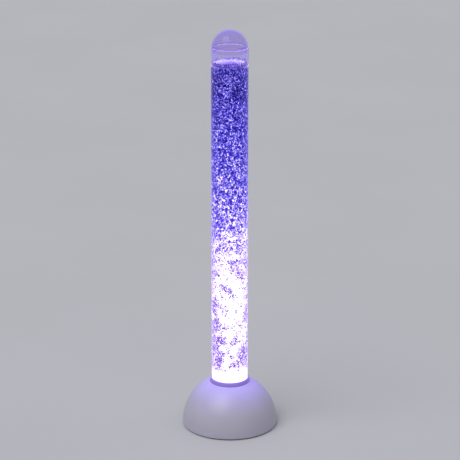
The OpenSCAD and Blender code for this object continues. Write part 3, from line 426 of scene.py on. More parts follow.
def new_material(name, **sockets):
    """A material with its tree, its Principled shader and the object's own coordinates. sockets set
    the shader's plain values, with _ for the spaces in their names."""
    material = bpy.data.materials.new(name)
    material.use_nodes = True
    tree = material.node_tree
    shader = tree.nodes["Principled BSDF"]
    for key, value in sockets.items():
        shader.inputs[key.replace("_", " ")].default_value = value
    place = tree.nodes.new("ShaderNodeTexCoord").outputs["Object"]
    return material, tree, shader, place


def feed(tree, shader, **sockets):
    """Links outputs to the shader's sockets, with _ for the spaces in their names."""
    for key, value in sockets.items():
        tree.links.new(value, shader.inputs[key.replace("_", " ")])


def raise_surface(tree, shader, height, depth, strength=1.0):
    """Bump, with depth in metres."""
    made = node(tree, "Bump", {"Height": height, "Distance": depth, "Strength": strength})
    tree.links.new(made.outputs[0], shader.inputs["Normal"])


# ---- Shared effects ----

def build_moulded(tree, given):
    """Moulded plastic: slow mottling of the colour, a fine spark-eroded grain, and a gloss that
    drifts with both."""
    slow = noise(tree, given["Vector"], 22.0, 3.0)
    fine = noise(tree, given["Vector"], given["Grain"], 2.0)
    tint = maths(tree, "MULTIPLY_ADD", spread(tree, slow, 0.3, 0.7, -1.0, 1.0), given["Mottle"], 1.0)
    drift = maths(tree, "MULTIPLY_ADD", fine, 0.06, spread(tree, slow, 0.3, 0.7, -0.05, 0.05))
    return {"Color": scaled(tree, given["Color"], tint), "Rough": maths(tree, "ADD", given["Rough"], drift),
            "Height": fine}


def build_drawn(tree, given):
    """Drawn, rolled or turned metal: lines that run where Stretch is small, with a slow cloud in
    the gloss."""
    fine = noise(tree, vector_maths(tree, "MULTIPLY", given["Vector"], given["Stretch"]), 1.0, 3.0)
    slow = noise(tree, given["Vector"], 60.0, 2.0)
    tint = spread(tree, fine, 0.25, 0.75, 0.88, 1.08)
    rough = maths(tree, "ADD", given["Rough"], spread(tree, fine, 0.2, 0.8, -0.06, 0.08))
    rough = maths(tree, "ADD", rough, spread(tree, slow, 0.3, 0.7, -0.03, 0.05))
    return {"Color": scaled(tree, given["Color"], tint), "Rough": rough, "Height": fine}


def build_dust(tree, given):
    """Dust on faces that look up, and a scuffed grey band within Reach of the floor."""
    up = height_of(tree, node(tree, "NewGeometry", {}).outputs["Normal"])
    patch = noise(tree, given["Vector"], 70.0, 4.0)
    lying = maths(tree, "MULTIPLY", spread(tree, up, 0.35, 0.95), spread(tree, patch, 0.42, 0.7))
    near = spread(tree, height_of(tree, given["Vector"]), 0.0, given["Reach"], 1.0, 0.0)
    scuff = maths(tree, "MULTIPLY", near, spread(tree, patch, 0.35, 0.65))
    mask = maths(tree, "MULTIPLY", maths(tree, "MAXIMUM", lying, scuff), given["Amount"], clamp=True)
    return {"Color": blend(tree, mask, given["Color"], given["Dust"]), "Mask": mask}


def build_wiped(tree, given):
    """Polished clear plastic: faint wipe arcs and finger smudges in the gloss."""
    smudge = noise(tree, vector_maths(tree, "MULTIPLY", given["Vector"], (30.0, 30.0, 6.0)), 1.0, 3.0)
    smudge = spread(tree, smudge, 0.48, 0.75)
    lines = noise(tree, vector_maths(tree, "MULTIPLY", given["Vector"], (900.0, 900.0, 14.0)), 1.0, 2.0)
    lines = spread(tree, lines, 0.62, 0.8)
    rough = maths(tree, "ADD", maths(tree, "MULTIPLY", smudge, 0.05), maths(tree, "MULTIPLY", lines, 0.03))
    return {"Rough": maths(tree, "ADD", rough, given["Rough"]), "Height": lines}


def build_crowd(tree, given):
    """How the light lies in the swarm. Height is the share of the way up, shifted a little by slow
    eddies. Foot is 1 in the flooded band at the bottom. Caught is the share of bubbles that catch
    the light: nearly all low down, except in clumps, most of them towards the two sides, and fewer
    and fewer from the middle up."""
    parts = node(tree, "SeparateXYZ", {0: given["Vector"]}).outputs
    share = spread(tree, parts[2], SWARM_FOOT, SWARM_TOP)
    eddy = spread(tree, noise(tree, given["Vector"], 11.0, 3.0), 0.3, 0.7, -0.045, 0.045)
    eddy = maths(tree, "MULTIPLY", eddy, spread(tree, share, 0.93, 0.975, 1.0, 0.0))
    side = spread(tree, maths(tree, "ABSOLUTE", parts[0]), 0.014, 0.042, -0.035, 0.095)
    clump = maths(tree, "ADD", noise(tree, given["Vector"], 24.0, 3.0), side)
    often = steps(tree, maths(tree, "ADD", share, eddy), [
        (0.00, 1.0), (1.00, 0.36), (0.10, 0.82), (0.36, 0.80), (0.44, 0.66), (0.52, 0.51), (0.62, 0.38),
        (0.80, 0.30), (0.97, 0.30)])
    clumped = spread(tree, clump, 0.42, 0.60, 0.12, -0.40)
    clumped = maths(tree, "MULTIPLY", clumped, steps(tree, share, [
        (0.00, 1.0), (1.00, 0.15), (0.30, 1.0), (0.40, 0.60), (0.50, 0.35), (0.62, 0.20)]))
    return {"Height": maths(tree, "ADD", share, eddy), "Foot": spread(tree, share, 0.066, 0.074, 1.0, 0.0),
            "Caught": maths(tree, "ADD", often, clumped, clamp=True)}


def build_glow(tree, given):
    """The light's colour at a height, for a Level from 0, the water between bubbles, through 0.5, a
    bubble in half shade, to 1, a bubble in full light: white low down, then lavender and royal
    blue, then violet over indigo near the top."""
    def light(*colour):
        """A colour as a share of GLOW."""
        return tuple(value / GLOW for value in colour)

    at = given["Height"]
    full = steps(tree, at, [
        (0.00, light(1.40, 1.32, 1.60)), (1.00, light(0.46, 0.37, 1.45)), (0.42, light(1.80, 1.68, 1.80)),
        (0.52, light(2.30, 2.05, 2.20)), (0.59, light(2.30, 2.00, 2.30)), (0.71, light(1.55, 1.32, 2.25)),
        (0.83, light(0.90, 0.75, 2.10)), (0.95, light(0.64, 0.52, 1.95))])
    half = steps(tree, at, [
        (0.00, light(0.60, 0.36, 0.98)), (1.00, light(0.095, 0.065, 0.62)), (0.38, light(0.66, 0.46, 1.00)),
        (0.45, light(0.46, 0.32, 1.00)), (0.52, light(0.25, 0.16, 1.00)), (0.59, light(0.14, 0.09, 0.98)),
        (0.71, light(0.065, 0.042, 0.92)), (0.83, light(0.040, 0.026, 0.80)),
        (0.95, light(0.026, 0.017, 0.58))])
    none = steps(tree, at, [
        (0.00, light(0.22, 0.07, 0.66)), (1.00, light(0.010, 0.007, 0.22)),
        (0.38, light(0.16, 0.055, 0.68)), (0.46, light(0.09, 0.034, 0.76)), (0.52, light(0.045, 0.018, 0.68)),
        (0.59, light(0.020, 0.010, 0.54)), (0.71, light(0.010, 0.006, 0.40)),
        (0.83, light(0.006, 0.004, 0.27)), (0.95, light(0.003, 0.002, 0.10))])
    low = maths(tree, "MULTIPLY", given["Level"], 2.0, clamp=True)
    high = maths(tree, "MULTIPLY_ADD", given["Level"], 2.0, -1.0, clamp=True)
    colour = blend(tree, high, blend(tree, low, none, half), full)
    return {"Color": blend(tree, given["Foot"], colour, (*light(1.5, 1.42, 1.8), 1))}


moulded = shared_effect(
    "moulded plastic",
    [("Vector", "vector", None), ("Color", "colour", (0.5, 0.5, 0.5, 1)), ("Mottle", "value", 0.03),
     ("Grain", "value", 1400.0), ("Rough", "value", 0.4)],
    [("Color", "colour"), ("Rough", "value"), ("Height", "value")], build_moulded)
drawn = shared_effect(
    "drawn metal",
    [("Vector", "vector", None), ("Color", "colour", (0.6, 0.6, 0.6, 1)),
     ("Stretch", "vector", (40, 40, 2000)), ("Rough", "value", 0.3)],
    [("Color", "colour"), ("Rough", "value"), ("Height", "value")], build_drawn)
dusty = shared_effect(
    "settled dust",
    [("Vector", "vector", None), ("Color", "colour", (0.5, 0.5, 0.5, 1)),
     ("Dust", "colour", (0.5, 0.48, 0.46, 1)), ("Reach", "value", 0.02), ("Amount", "value", 0.15)],
    [("Color", "colour"), ("Mask", "value")], build_dust)
wiped = shared_effect(
    "wiped clear plastic", [("Vector", "vector", None), ("Rough", "value", 0.02)],
    [("Rough", "value"), ("Height", "value")], build_wiped)
swarm_crowd = shared_effect(
    "crowd of bubbles", [("Vector", "vector", None)],
    [("Height", "value"), ("Foot", "value"), ("Caught", "value")], build_crowd)
rising_glow = shared_effect(
    "rising glow", [("Height", "value", 0.5), ("Foot", "value", 0.0), ("Level", "value", 0.5)],
    [("Color", "colour")], build_glow)


# ---- Materials of the lit column ----

def swarm_core_light():
    """Bubbles far inside: curls of light, where a wandering noise stays near its middle value. The
    more bubbles catch the light, the wider the curls, until only dark islands stay between them.
    There are two sets of curls. Low down the finer one shows alone, and from the middle up the
    coarser one takes over, some of it in half shade, with the finer one faint between."""
    material, tree, shader, place = new_material(
        "light_deep_in_the_swarm", Base_Color=(0.004, 0.003, 0.012, 1), Roughness=0.6,
        Specular_IOR_Level=0.0, Emission_Strength=GLOW)
    crowd = use(tree, swarm_crowd, {"Vector": place})
    narrow = vector_maths(tree, "MULTIPLY", place, (1.2, 1.2, 1.0))
    wide = steps(tree, crowd["Caught"], [
        (0.0, 0.018), (1.0, 0.60), (0.40, 0.040), (0.60, 0.085), (0.75, 0.13), (0.88, 0.20)])
    curls = []
    for scale, thin in ((104.0, 1.0), (150.0, 0.85)):
        wander = node(tree, "TexNoise", {
            "Vector": narrow, "Scale": scale, "Detail": 1.2, "Distortion": 1.0}).outputs["Fac"]
        away = maths(tree, "ABSOLUTE", maths(tree, "SUBTRACT", wander, 0.5))
        over = maths(tree, "SUBTRACT", maths(tree, "MULTIPLY", wide, thin), away)
        curls.append(spread(tree, over, -0.006, 0.010, smooth=True))
    bright = spread(tree, noise(tree, place, 110.0, 2.0), 0.36, 0.60, 0.50, 1.0)
    bright = maths(tree, "MAXIMUM", bright, spread(tree, crowd["Height"], 0.42, 0.62, 1.0, 0.0))
    dim = spread(tree, crowd["Height"], 0.40, 0.62, 0.0, 0.36)
    level = maths(tree, "MAXIMUM", maths(tree, "MULTIPLY", curls[0], bright),
                  maths(tree, "MULTIPLY", curls[1], dim))
    low = spread(tree, crowd["Height"], 0.34, 0.46, 1.0, 0.0)
    level = node(tree, "Mix", {0: low, 2: level, 3: curls[1]}, data_type="FLOAT").outputs[0]
    glow = use(tree, rising_glow, {"Height": crowd["Height"], "Foot": crowd["Foot"], "Level": level})
    feed(tree, shader, Emission_Color=glow["Color"])
    return material


def own_number(tree, label):
    """A number that the mesh holds for each of its points."""
    return node(tree, "Attribute", {}, attribute_name=label).outputs["Fac"]


def bubble_light(name, middle, power):
    """A bubble near the wall. Its own number shine says whether it catches the light and how much,
    and its rim carries more of it than its middle."""
    material, tree, shader, place = new_material(
        name, Base_Color=(0.004, 0.003, 0.012, 1), Roughness=0.3, Specular_IOR_Level=0.1,
        Emission_Strength=GLOW)
    crowd = use(tree, swarm_crowd, {"Vector": place})
    rim, shine = own_number(tree, "rim"), own_number(tree, "shine")
    caught = spread(tree, maths(tree, "SUBTRACT", crowd["Caught"], shine), -0.02, 0.05)
    full = spread(tree, maths(tree, "FRACT", maths(tree, "MULTIPLY", shine, 37.0)), 0.0, 0.8, 0.48, 1.05)
    full = maths(tree, "MAXIMUM", full, spread(tree, crowd["Height"], 0.36, 0.6, 1.0, 0.0))
    level = maths(tree, "MULTIPLY", maths(tree, "MULTIPLY", caught, full),
                  spread(tree, maths(tree, "POWER", rim, power), 0.0, 1.0, middle, 1.0), clamp=True)
    glow = use(tree, rising_glow, {"Height": crowd["Height"], "Foot": crowd["Foot"], "Level": level})
    feed(tree, shader, Emission_Color=glow["Color"])
    material.cycles.emission_sampling = "NONE"
    return material


def foam_light(name, inner_low, inner_high):
    """Foam and splashes are lit from inside the tube: the side that looks at the axis is bright,
    from inner_low to inner_high at the wall and about half as much in the middle. Elsewhere pale
    rims stand over violet middles."""
    material, tree, shader, place = new_material(
        name, Base_Color=(0.01, 0.008, 0.03, 1), Roughness=0.2, Specular_IOR_Level=0.3,
        Emission_Strength=1.0)
    rim, shine = own_number(tree, "rim"), own_number(tree, "shine")
    level = maths(tree, "MULTIPLY", maths(tree, "POWER", rim, 0.8),
                  spread(tree, shine, 0.3, 0.95, 0.04, 0.62))
    flat = level_place(tree, place)
    face = node(tree, "NewGeometry", {}).outputs["Normal"]
    outward = vector_maths(tree, "DOT_PRODUCT", vector_maths(tree, "NORMALIZE", flat), face, "Value")
    wall = spread(tree, length_of(tree, flat), 0.0, 0.046, 0.5, 1.0)
    inner = maths(tree, "MULTIPLY", spread(tree, outward, 0.92, 0.30), wall)
    inner = maths(tree, "MULTIPLY", inner, spread(tree, shine, 0.0, 0.6, inner_low, inner_high))
    feed(tree, shader, Emission_Color=steps(tree, maths(tree, "MAXIMUM", level, inner), [
        (0.0, (0.012, 0.008, 0.12)), (1.0, (1.0, 0.86, 1.05)), (0.4, (0.13, 0.09, 0.70)),
        (0.7, (0.42, 0.32, 0.98))]))
    material.cycles.emission_sampling = "NONE"
    return material


def even(colour):
    """A run of one colour over the whole height, for clear."""
    return [(0.0, colour), (CAP_TOP, colour)]


def change(low, high, below, above):
    """A run, for clear, that changes from one colour to another between two heights."""
    return [(0.0, below), (CAP_TOP, above), (low, below), (high, above)]


def clear(name, tints, painted_glows, edge=None, painted_edge_glows=None, ring=None, rough=0.02, bend=PLASTIC_BEND,
          shine=(0.14, 0.13, 0.30, 1)):
    """Clear plastic or water. tints and painted_glows are runs of colour along the height, each as (height in
    metres, colour), and edge and painted_edge_glows take over where the wall is seen along its length. The
    glows are painted glow: emission that stands in for the lamp's light caught in the clear piece. shine
    tints what it mirrors of the room. ring is a thin painted line of light, given as its lowest height and
    its inner radius: it stands in for light caught in the wall, so it is bright from inside the wall and
    faint from outside. Lamps shine straight through all of it."""
    material, tree, shader, place = new_material(
        name, Transmission_Weight=1.0, IOR=bend, Specular_Tint=shine, Emission_Strength=1.0)
    height = height_of(tree, place)
    share = spread(tree, height, 0.0, CAP_TOP)

    def upwards(run):
        """A run's colour at each height."""
        return steps(tree, share, [(z / CAP_TOP, colour) for z, colour in run])

    gloss = use(tree, wiped, {"Vector": place, "Rough": rough})
    # The glow runs are painted glow: emission standing in for the lamp's light caught in the clear piece,
    # along its height and along its edges.
    tint, glow = upwards(tints), upwards(painted_glows)
    if edge:
        along = maths(tree, "POWER", node(tree, "LayerWeight", {}).outputs["Facing"], 2.2)
        tint = blend(tree, along, tint, (*edge, 1))
        glow = blend(tree, along, glow, upwards(painted_edge_glows))
    # Painted light: a thin violet line painted into the tint and the emission under the rim, for light caught
    # in the wall.
    if ring:
        around = length_of(tree, level_place(tree, place))
        line = maths(tree, "MULTIPLY", spread(tree, height, ring[0] - 0.0002, ring[0]),
                     spread(tree, around, ring[1] - 0.0002, ring[1]))
        tint = blend(tree, line, tint, (0.44, 0.30, 0.72, 1))
        inside = node(tree, "NewGeometry", {}).outputs["Backfacing"]
        glow = blend(tree, line, glow, blend(tree, inside, (0.06, 0.03, 0.15, 1), (1.4, 0.75, 2.4, 1)))
    feed(tree, shader, Roughness=gloss["Rough"], Base_Color=tint, Emission_Color=glow)
    raise_surface(tree, shader, gloss["Height"], 0.00002, 0.2)
    through = node(tree, "BsdfTransparent", {}).outputs[0]
    path = node(tree, "LightPath", {}).outputs
    free = maths(tree, "MAXIMUM", path["Is Shadow Ray"], path["Is Diffuse Ray"])
    both = node(tree, "MixShader", {0: free, 1: shader.outputs[0], 2: through})
    tree.links.new(both.outputs[0], tree.nodes["Material Output"].inputs["Surface"])
    return material


# ---- Materials of the solid pieces ----

def moulded_skin(tree, place, colour, mottle, rough, grain=1400.0):
    """The moulded effect, on a plain colour or on one that changes over the surface."""
    return use(tree, moulded, {
        "Vector": place, "Color": colour, "Mottle": mottle, "Grain": grain, "Rough": rough})


def dulled(tree, skin, top):
    """The gloss of a moulded skin with the dust that lies on it."""
    return maths(tree, "MULTIPLY_ADD", top["Mask"], 0.5, skin["Rough"], clamp=True)


def plastic(name, colour, rough, grain=1400.0, depth=0.00004, mottle=0.03, dust=0.10, reach=0.02, **sockets):
    """Moulded plastic or rubber. grain is the fineness of its surface, depth the height of that
    grain, and dust and reach say how much dust it has and how far up from the floor."""
    material, tree, shader, place = new_material(name, **sockets)
    skin = moulded_skin(tree, place, (*colour, 1), mottle, rough, grain)
    top = use(tree, dusty, {"Vector": place, "Color": skin["Color"], "Reach": reach, "Amount": dust})
    feed(tree, shader, Base_Color=top["Color"], Roughness=dulled(tree, skin, top))
    raise_surface(tree, shader, skin["Height"], depth)
    return material


def metal(name, colour, rough, stretch=(60, 60, 2400), depth=0.000015):
    """Bare metal, with lines that run along the axis where stretch is smallest."""
    material, tree, shader, place = new_material(name, Metallic=1.0)
    skin = use(tree, drawn, {"Vector": place, "Color": (*colour, 1), "Stretch": stretch, "Rough": rough})
    feed(tree, shader, Base_Color=skin["Color"], Roughness=skin["Rough"])
    raise_surface(tree, shader, skin["Height"], depth)
    return material


def light_board(name, colour, glow, strength):
    """A piece that gives light itself: a mottled face with a soft unevenness in its light."""
    material, tree, shader, place = new_material(name, Emission_Strength=strength)
    skin = moulded_skin(tree, place, (*colour, 1), mottle=0.02, rough=0.35, grain=900.0)
    uneven = spread(tree, noise(tree, place, 80.0, 2.0), 0.3, 0.7, 0.8, 1.0)
    feed(tree, shader, Base_Color=skin["Color"], Roughness=skin["Rough"],
         Emission_Color=scaled(tree, glow, uneven))
    raise_surface(tree, shader, skin["Height"], 0.00003)
    return material


def printed_board(name, mask_colour, track_colour):
    """A printed board: copper tracks show as paler paths under the lacquer, with bright pads."""
    material, tree, shader, place = new_material(name, Coat_Weight=0.4, Coat_Roughness=0.15)
    tracks = node(tree, "TexBrick", {
        "Vector": place, "Scale": 120.0, "Mortar Size": 0.035, "Color1": (0, 0, 0, 1),
        "Color2": (0, 0, 0, 1), "Mortar": (1, 1, 1, 1)}).outputs["Color"]
    pads = node(tree, "TexVoronoi", {"Vector": place, "Scale": 260.0}).outputs["Distance"]
    pads = steps(tree, pads, [(0.0, 1.0), (1.0, 0.0), (0.16, 1.0), (0.2, 0.0)])
    paths = blend(tree, tracks, (*mask_colour, 1), (*track_colour, 1))
    skin = moulded_skin(tree, place, paths, mottle=0.06, rough=0.3, grain=2400.0)
    tinned = blend(tree, maths(tree, "MULTIPLY", pads, 0.5), skin["Color"], (0.72, 0.72, 0.68, 1))
    feed(tree, shader, Base_Color=tinned, Roughness=skin["Rough"])
    raise_surface(tree, shader, maths(tree, "ADD", tracks, pads), 0.00004)
    return material


def porous_stone():
    """Sintered stone: grains with pores between them, painted dark between the grains: painted shade in the
    pores.
    """
    material, tree, shader, place = new_material("porous_stone")
    grains = node(tree, "TexVoronoi", {"Vector": place, "Scale": 900.0}).outputs
    # Painted shade: the colour darkens towards the edges of each grain, where the bump is lowest.
    tone_and_painted_shade = steps(tree, grains["Distance"], [
        (0.0, (0.50, 0.60, 0.75)), (1.0, (0.06, 0.09, 0.15)), (0.5, (0.35, 0.45, 0.60))])
    skin = moulded_skin(tree, place, tone_and_painted_shade, mottle=0.10, rough=0.8, grain=1800.0)
    feed(tree, shader, Base_Color=skin["Color"], Roughness=skin["Rough"])
    raise_surface(tree, shader, maths(tree, "SUBTRACT", 1.0, grains["Distance"]), 0.0003)
    return material


def wound_copper():
    """Enamelled wire laid in rows: fine waves round the coil, coppery on the turns and painted dark in the
    grooves between them: painted shade.
    """
    material, tree, shader, place = new_material(
        "wound_copper", Metallic=1.0, Coat_Weight=0.6, Coat_Roughness=0.12)
    turns = node(tree, "TexWave", {"Vector": place, "Scale": 420.0, "Distortion": 0.6, "Detail": 1.0},
                 bands_direction="Z").outputs["Fac"]
    # Painted shade: the copper colour goes dark where the waves are low, in the grooves between turns.
    tone_and_painted_shade = steps(tree, turns, [
        (0.0, (0.22, 0.07, 0.02)), (1.0, (0.80, 0.40, 0.20)), (0.5, (0.62, 0.28, 0.12))])
    feed(tree, shader, Base_Color=tone_and_painted_shade, Roughness=spread(tree, turns, 0.0, 1.0, 0.45, 0.22))
    raise_surface(tree, shader, turns, 0.0002)
    return material


def shell_finish_and_painted_glow():
    """Satin white moulded plastic with dust near the floor, and a painted glow: violet emission on the
    shoulder round the collar that stands in for the tube's light falling there, fading where the dome turns
    away from it."""
    material, tree, shader, place = new_material(
        "satin_white_shell_painted_glow", Coat_Weight=0.10, Coat_Roughness=0.35, Emission_Strength=1.0)
    skin = moulded_skin(tree, place, (0.45, 0.43, 0.53, 1), mottle=0.018, rough=0.34)
    top = use(tree, dusty, {"Vector": place, "Color": skin["Color"], "Reach": 0.016, "Amount": 0.10})
    around = length_of(tree, level_place(tree, place))
    from_middle = length_of(tree, vector_maths(tree, "SUBTRACT", place, (0.0, 0.0, DOME_Z)))
    outside = spread(tree, from_middle, DOME_R - 0.0025, DOME_R - 0.0010)
    # Painted glow: violet emission on the outer face of the shoulder, strongest by the collar and gone 135 mm
    # from the axis, standing in for the tube's light falling there.
    near = steps(tree, spread(tree, around, 0.055, 0.135), [
        (0.0, (0.12, 0.050, 0.52)), (1.0, (0, 0, 0)), (0.20, (0.10, 0.045, 0.46)),
        (0.40, (0.075, 0.036, 0.36)), (0.58, (0.040, 0.020, 0.23)), (0.78, (0.012, 0.006, 0.09))])
    feed(tree, shader, Base_Color=top["Color"], Roughness=dulled(tree, skin, top),
         Emission_Color=scaled(tree, near, outside))
    raise_surface(tree, shader, skin["Height"], 0.00003)
    return material


def collar_finish_and_painted_glow():
    """Satin white plastic, given a dark violet colour, with a painted violet glow at its top edge by the
    tube, fading downwards: emission that stands in for the tube's light on it."""
    material, tree, shader, place = new_material(
        "satin_white_collar_painted_glow", Coat_Weight=0.15, Coat_Roughness=0.3, Emission_Strength=1.0)
    skin = moulded_skin(tree, place, (0.24, 0.19, 0.42, 1), mottle=0.02, rough=0.30)
    # Painted glow: violet emission, full at the top edge and a tenth of it 14 mm lower, standing in for the
    # tube's light.
    near = spread(tree, height_of(tree, place), COLLAR_TOP - 0.014, COLLAR_TOP, 0.10, 1.0)
    feed(tree, shader, Base_Color=skin["Color"], Roughness=skin["Rough"],
         Emission_Color=blend(tree, near, (0, 0, 0, 1), (0.12, 0.05, 0.46, 1)))
    raise_surface(tree, shader, skin["Height"], 0.00004)
    return material


finishes = {
    "base_shell": shell_finish_and_painted_glow(),
    "tube_collar": collar_finish_and_painted_glow(),
    # Painted glow on the tube: a faint violet glow above the water, a violet glow along the wall's edges that
    # fades upwards with a bright band at the water line, and a painted line of light under the rim.
    "main_tube": clear(
        "clear_tube_painted_glow",
        change(WATER_TOP - 0.005, WATER_TOP + 0.010, (0.99, 0.98, 1.0), (0.86, 0.83, 0.97)),
        change(WATER_TOP - 0.005, WATER_TOP + 0.010, (0, 0, 0), (0.006, 0.004, 0.02)),
        edge=(0.50, 0.41, 0.93),
        painted_edge_glows=[(0.0, (0.30, 0.22, 0.50)), (CAP_TOP, (0.03, 0.02, 0.14)), (0.45, (0.26, 0.18, 0.50)),
                    (0.62, (0.14, 0.09, 0.42)), (0.80, (0.06, 0.04, 0.28)),
                    (WATER_TOP - 0.0045, (0.03, 0.02, 0.16)), (WATER_TOP - 0.0020, (0.85, 0.66, 1.0)),
                    (WATER_TOP + 0.0015, (0.85, 0.66, 1.0)), (WATER_TOP + 0.0040, (0.03, 0.02, 0.14))],
        ring=(RIM_Z - 0.0009, 0.0516)),
    # Painted glow on the cap: a faint violet glow, strongest at the top, and a violet glow along its edges.
    "dome_cap": clear(
        "clear_cap_painted_glow",
        [(0.0, (0.80, 0.76, 0.95)), (CAP_TOP, (0.74, 0.69, 0.95)), (CAP_TOP - 0.0235, (0.78, 0.74, 0.95))],
        [(0.0, (0.004, 0.003, 0.012)), (CAP_TOP, (0.02, 0.013, 0.07)),
         (CAP_TOP - 0.0235, (0.006, 0.004, 0.02))],
        edge=(0.42, 0.33, 0.88), painted_edge_glows=even((0.03, 0.018, 0.13)), shine=(0.20, 0.18, 0.42, 1)),
    # Painted glow: a violet glow on the sleeve's foot edge, over the violet tint there.
    "cap_sleeve": clear(
        "clear_sleeve_painted_glow",
        change(SLEEVE_FOOT + 0.0004, SLEEVE_FOOT + 0.0010, (0.62, 0.52, 0.90), (0.90, 0.88, 0.98)),
        change(SLEEVE_FOOT + 0.0004, SLEEVE_FOOT + 0.0010, (0.04, 0.025, 0.12), (0, 0, 0)),
        edge=(0.66, 0.58, 0.95), painted_edge_glows=even((0, 0, 0))),
    # Painted glow: an even violet glow in the plug.
    "end_plug": clear("clear_plug_painted_glow", even((0.95, 0.94, 1.0)), even((0.3, 0.25, 0.6)), rough=0.05),
    "light_diffuser": light_board(
        "frosted_diffuser", (0.85, 0.85, 0.95), glow=(0.62, 0.52, 1.0), strength=2.0),
    "led_chips": light_board("light_chips", (0.95, 0.9, 0.7), glow=(0.65, 0.55, 1.0), strength=3.0),
    "led_board": printed_board("white_light_board", (0.86, 0.86, 0.84), (0.78, 0.78, 0.76)),
    "control_board": printed_board("control_board", (0.02, 0.16, 0.07), (0.05, 0.28, 0.13)),
    "air_stone": porous_stone(),
    "pump_coil": wound_copper(),
}
black = plastic("black_moulding", (0.030, 0.030, 0.034), 0.42, mottle=0.08)
rubber = plastic("black_rubber", (0.022, 0.022, 0.022), 0.72, grain=700.0, depth=0.00006, mottle=0.10,
                 dust=0.2)
foot_rubber = plastic("foot_rubber", (0.075, 0.075, 0.080), 0.80, grain=600.0, depth=0.00010, mottle=0.12,
                      dust=0.35, reach=0.005)
panel = plastic("panel_moulding", (0.060, 0.060, 0.068), 0.50, grain=900.0, depth=0.00008, mottle=0.06,
                dust=0.18)
pump_case = plastic("pump_moulding", (0.085, 0.085, 0.10), 0.55, grain=900.0, depth=0.00008, mottle=0.06,
                    dust=0.12)
screws = metal("zinc_plated_steel", (0.60, 0.61, 0.64), 0.30, stretch=(900, 900, 900))
nickel = metal("plated_nickel", (0.72, 0.70, 0.64), 0.18, stretch=(80, 80, 2600))
alloy = metal("rolled_alloy", (0.74, 0.75, 0.78), 0.32, stretch=(2200, 40, 2200))
iron = metal("stamped_iron", (0.40, 0.40, 0.42), 0.45, stretch=(1800, 60, 60), depth=0.00004)
valve_white = plastic("white_nylon", (0.72, 0.72, 0.74), 0.38)
by_material = {
    black: ["base_plate", "power_inlet", "switch_body", "tube_socket", "driver_chips"],
    panel: ["rear_panel"],
    pump_case: ["pump_case", "pump_cover"],
    rubber: ["collar_seal", "plug_seal", "inlet_washer", "arm_grommet", "pump_diaphragm",
             "check_valve_disc"],
    foot_rubber: ["rubber_feet", "pump_mounts"],
    screws: ["foot_screws", "base_screws", "rear_panel_screws", "socket_screws", "pillar_screws",
             "led_board_screws", "board_screws", "pump_cover_screws", "pump_mount_screws"],
    nickel: ["power_inlet_pin", "power_inlet_nut", "inlet_stem", "inlet_nut", "board_standoffs"],
    alloy: ["carrier_plate", "carrier_pillars", "pump_arm"],
    iron: ["pump_core"],
    valve_white: ["pump_valve_box", "check_valve_outlet"],
    plastic("red_rocker", (0.42, 0.025, 0.022), 0.22, grain=1800.0, depth=0.00001, dust=0.08,
            Coat_Weight=0.4, Coat_Roughness=0.1): ["switch_rocker"],
    plastic("lead_jacket", (0.026, 0.026, 0.028), 0.48, grain=800.0, mottle=0.08): [
        "led_lead", "pump_lead", "power_lead"],
    plastic("silicone_hose", (0.66, 0.68, 0.70), 0.45, grain=700.0, mottle=0.04): ["air_hoses"],
    plastic("green_terminals", (0.045, 0.26, 0.13), 0.40, mottle=0.05): ["wire_connectors"],
    plastic("capacitor_sleeves", (0.035, 0.035, 0.075), 0.25, mottle=0.10, Coat_Weight=0.3): [
        "board_capacitors"],
    metal("screening_can", (0.66, 0.67, 0.70), 0.26, stretch=(2000, 50, 50)): ["radio_module"],
    metal("plated_magnet", (0.62, 0.62, 0.65), 0.20, stretch=(70, 70, 1500)): ["arm_magnet"],
    clear("clear_valve", even((0.80, 0.88, 0.97)), even((0, 0, 0)), rough=0.08): ["check_valve_inlet"],
}


def dress(piece, material):
    """Gives a piece its material in the place of any other."""
    piece.data.materials.clear()
    piece.data.materials.append(material)


for finish, names in by_material.items():
    for name in names:
        finishes[name] = finish
for name, finish in finishes.items():
    dress(NODES[name], finish)

dress(water, clear(
    "lit_water", even((0.99, 0.98, 1.0)), even((0, 0, 0)), rough=0.0, bend=WATER_BEND,
    shine=(0.05, 0.05, 0.10, 1)))
dress(swarm_core, swarm_core_light())
large_light = bubble_light("light_in_large_bubbles", middle=0.55, power=1.6)
small_light = bubble_light("light_in_small_bubbles", middle=0.75, power=1.0)
for piece in large_bubbles:
    dress(piece, large_light)
for piece in small_bubbles:
    dress(piece, small_light)
dress(foam, foam_light("foam_on_the_water", inner_low=0.55, inner_high=1.0))
dress(splash, foam_light("splashes_on_the_wall", inner_low=0.30, inner_high=0.60))
# Painted glow: a faint violet glow in the drops of mist.
dress(mist, clear(
    "mist_drops_painted_glow", even((0.92, 0.90, 1.0)), even((0.05, 0.03, 0.16)), rough=0.0, bend=WATER_BEND))


# ---- Floor, light and camera ----

BACKGROUND = (0.56, 0.56, 0.60)
FLOOR_R = 60.0

# Where the photograph was taken from, worked out from the ellipses of the rim, collar and base
CAMERA_AT = (0.0009, -5.272, 2.303)
LOOK_DOWN = math.radians(17.7)


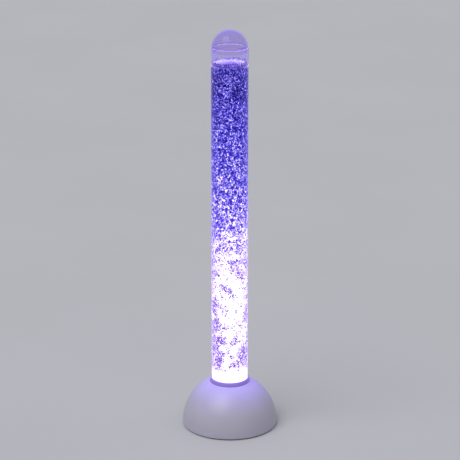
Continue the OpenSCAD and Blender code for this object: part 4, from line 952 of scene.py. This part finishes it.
def make_floor():
    """A round pale floor: rings of points whose radii grow with the square of their number, closed
    at the middle."""
    rows, cols = 12, 64
    turn = ring_turns(cols)
    radius = (FLOOR_R * np.linspace(0.02, 1, rows) ** 2)[:, None] + 0 * turn
    points = np.stack([radius * np.cos(turn), radius * np.sin(turn), 0 * radius], axis=-1).reshape(-1, 3)
    points = np.concatenate([points, [[0, 0, 0]]])
    c = np.arange(cols)
    tris = np.stack([np.full(cols, rows * cols), c, (c + 1) % cols], axis=-1)
    mesh = bpy.data.meshes.new("floor")
    mesh.from_pydata(points.tolist(), [], grid_quads(rows, cols)[:, ::-1].tolist() + tris.tolist())
    floor = bpy.data.objects.new("floor", mesh)
    bpy.context.scene.collection.objects.link(floor)
    return floor


floor = make_floor()
floor_material, tree, shader, place = new_material("pale_floor", Specular_IOR_Level=0.2)
cloud = spread(tree, noise(tree, place, 1.3, 3.0), 0.3, 0.7, 0.985, 1.015)
feed(tree, shader, Base_Color=scaled(tree, BACKGROUND, cloud),
     Roughness=spread(tree, noise(tree, place, 40.0, 2.0), 0.3, 0.7, 0.65, 0.75))
dress(floor, floor_material)

world = bpy.data.worlds.new("studio")
bpy.context.scene.world = world
world.use_nodes = True
tree = world.node_tree
ambient = node(tree, "Background", {"Color": (0.97, 0.97, 1.0, 1), "Strength": 0.46})
shown = node(tree, "Background", {"Color": (*BACKGROUND, 1), "Strength": 1.0})
path = node(tree, "LightPath", {}).outputs
seen = maths(tree, "MAXIMUM", path["Is Glossy Ray"], path["Is Transmission Ray"])
seen = maths(tree, "MAXIMUM", path["Is Camera Ray"], seen)
pick = node(tree, "MixShader", {0: seen, 1: ambient.outputs[0], 2: shown.outputs[0]})
tree.links.new(pick.outputs[0], tree.nodes["World Output"].inputs["Surface"])


def lamp(name, kind, place, aim, power, **settings):
    """A lamp that stands at place and shines towards aim."""
    data = bpy.data.lights.new(name, kind)
    data.energy = power
    for key, value in settings.items():
        setattr(data, key, value)
    made = bpy.data.objects.new(name, data)
    bpy.context.scene.collection.objects.link(made)
    x, y, z = [b - a for a, b in zip(place, aim)]
    made.location = place
    made.rotation_euler = (math.atan2(math.hypot(x, y), -z), 0, math.atan2(y, x) - math.pi / 2)
    return made


lamp("soft_key", "SUN", (-1.6, -1.8, 4.2), (0, 0, 0.2), 1.35, angle=math.radians(45))

camera = bpy.data.objects.new("camera", bpy.data.cameras.new("camera"))
bpy.context.scene.collection.objects.link(camera)
camera.data.sensor_width = 36.0
camera.data.lens = 145.06
camera.data.clip_end = 200.0
camera.location = CAMERA_AT
camera.rotation_euler = (math.pi / 2 - LOOK_DOWN, 0, 0)
bpy.context.scene.camera = camera
bpy.context.scene.view_settings.view_transform = "Standard"
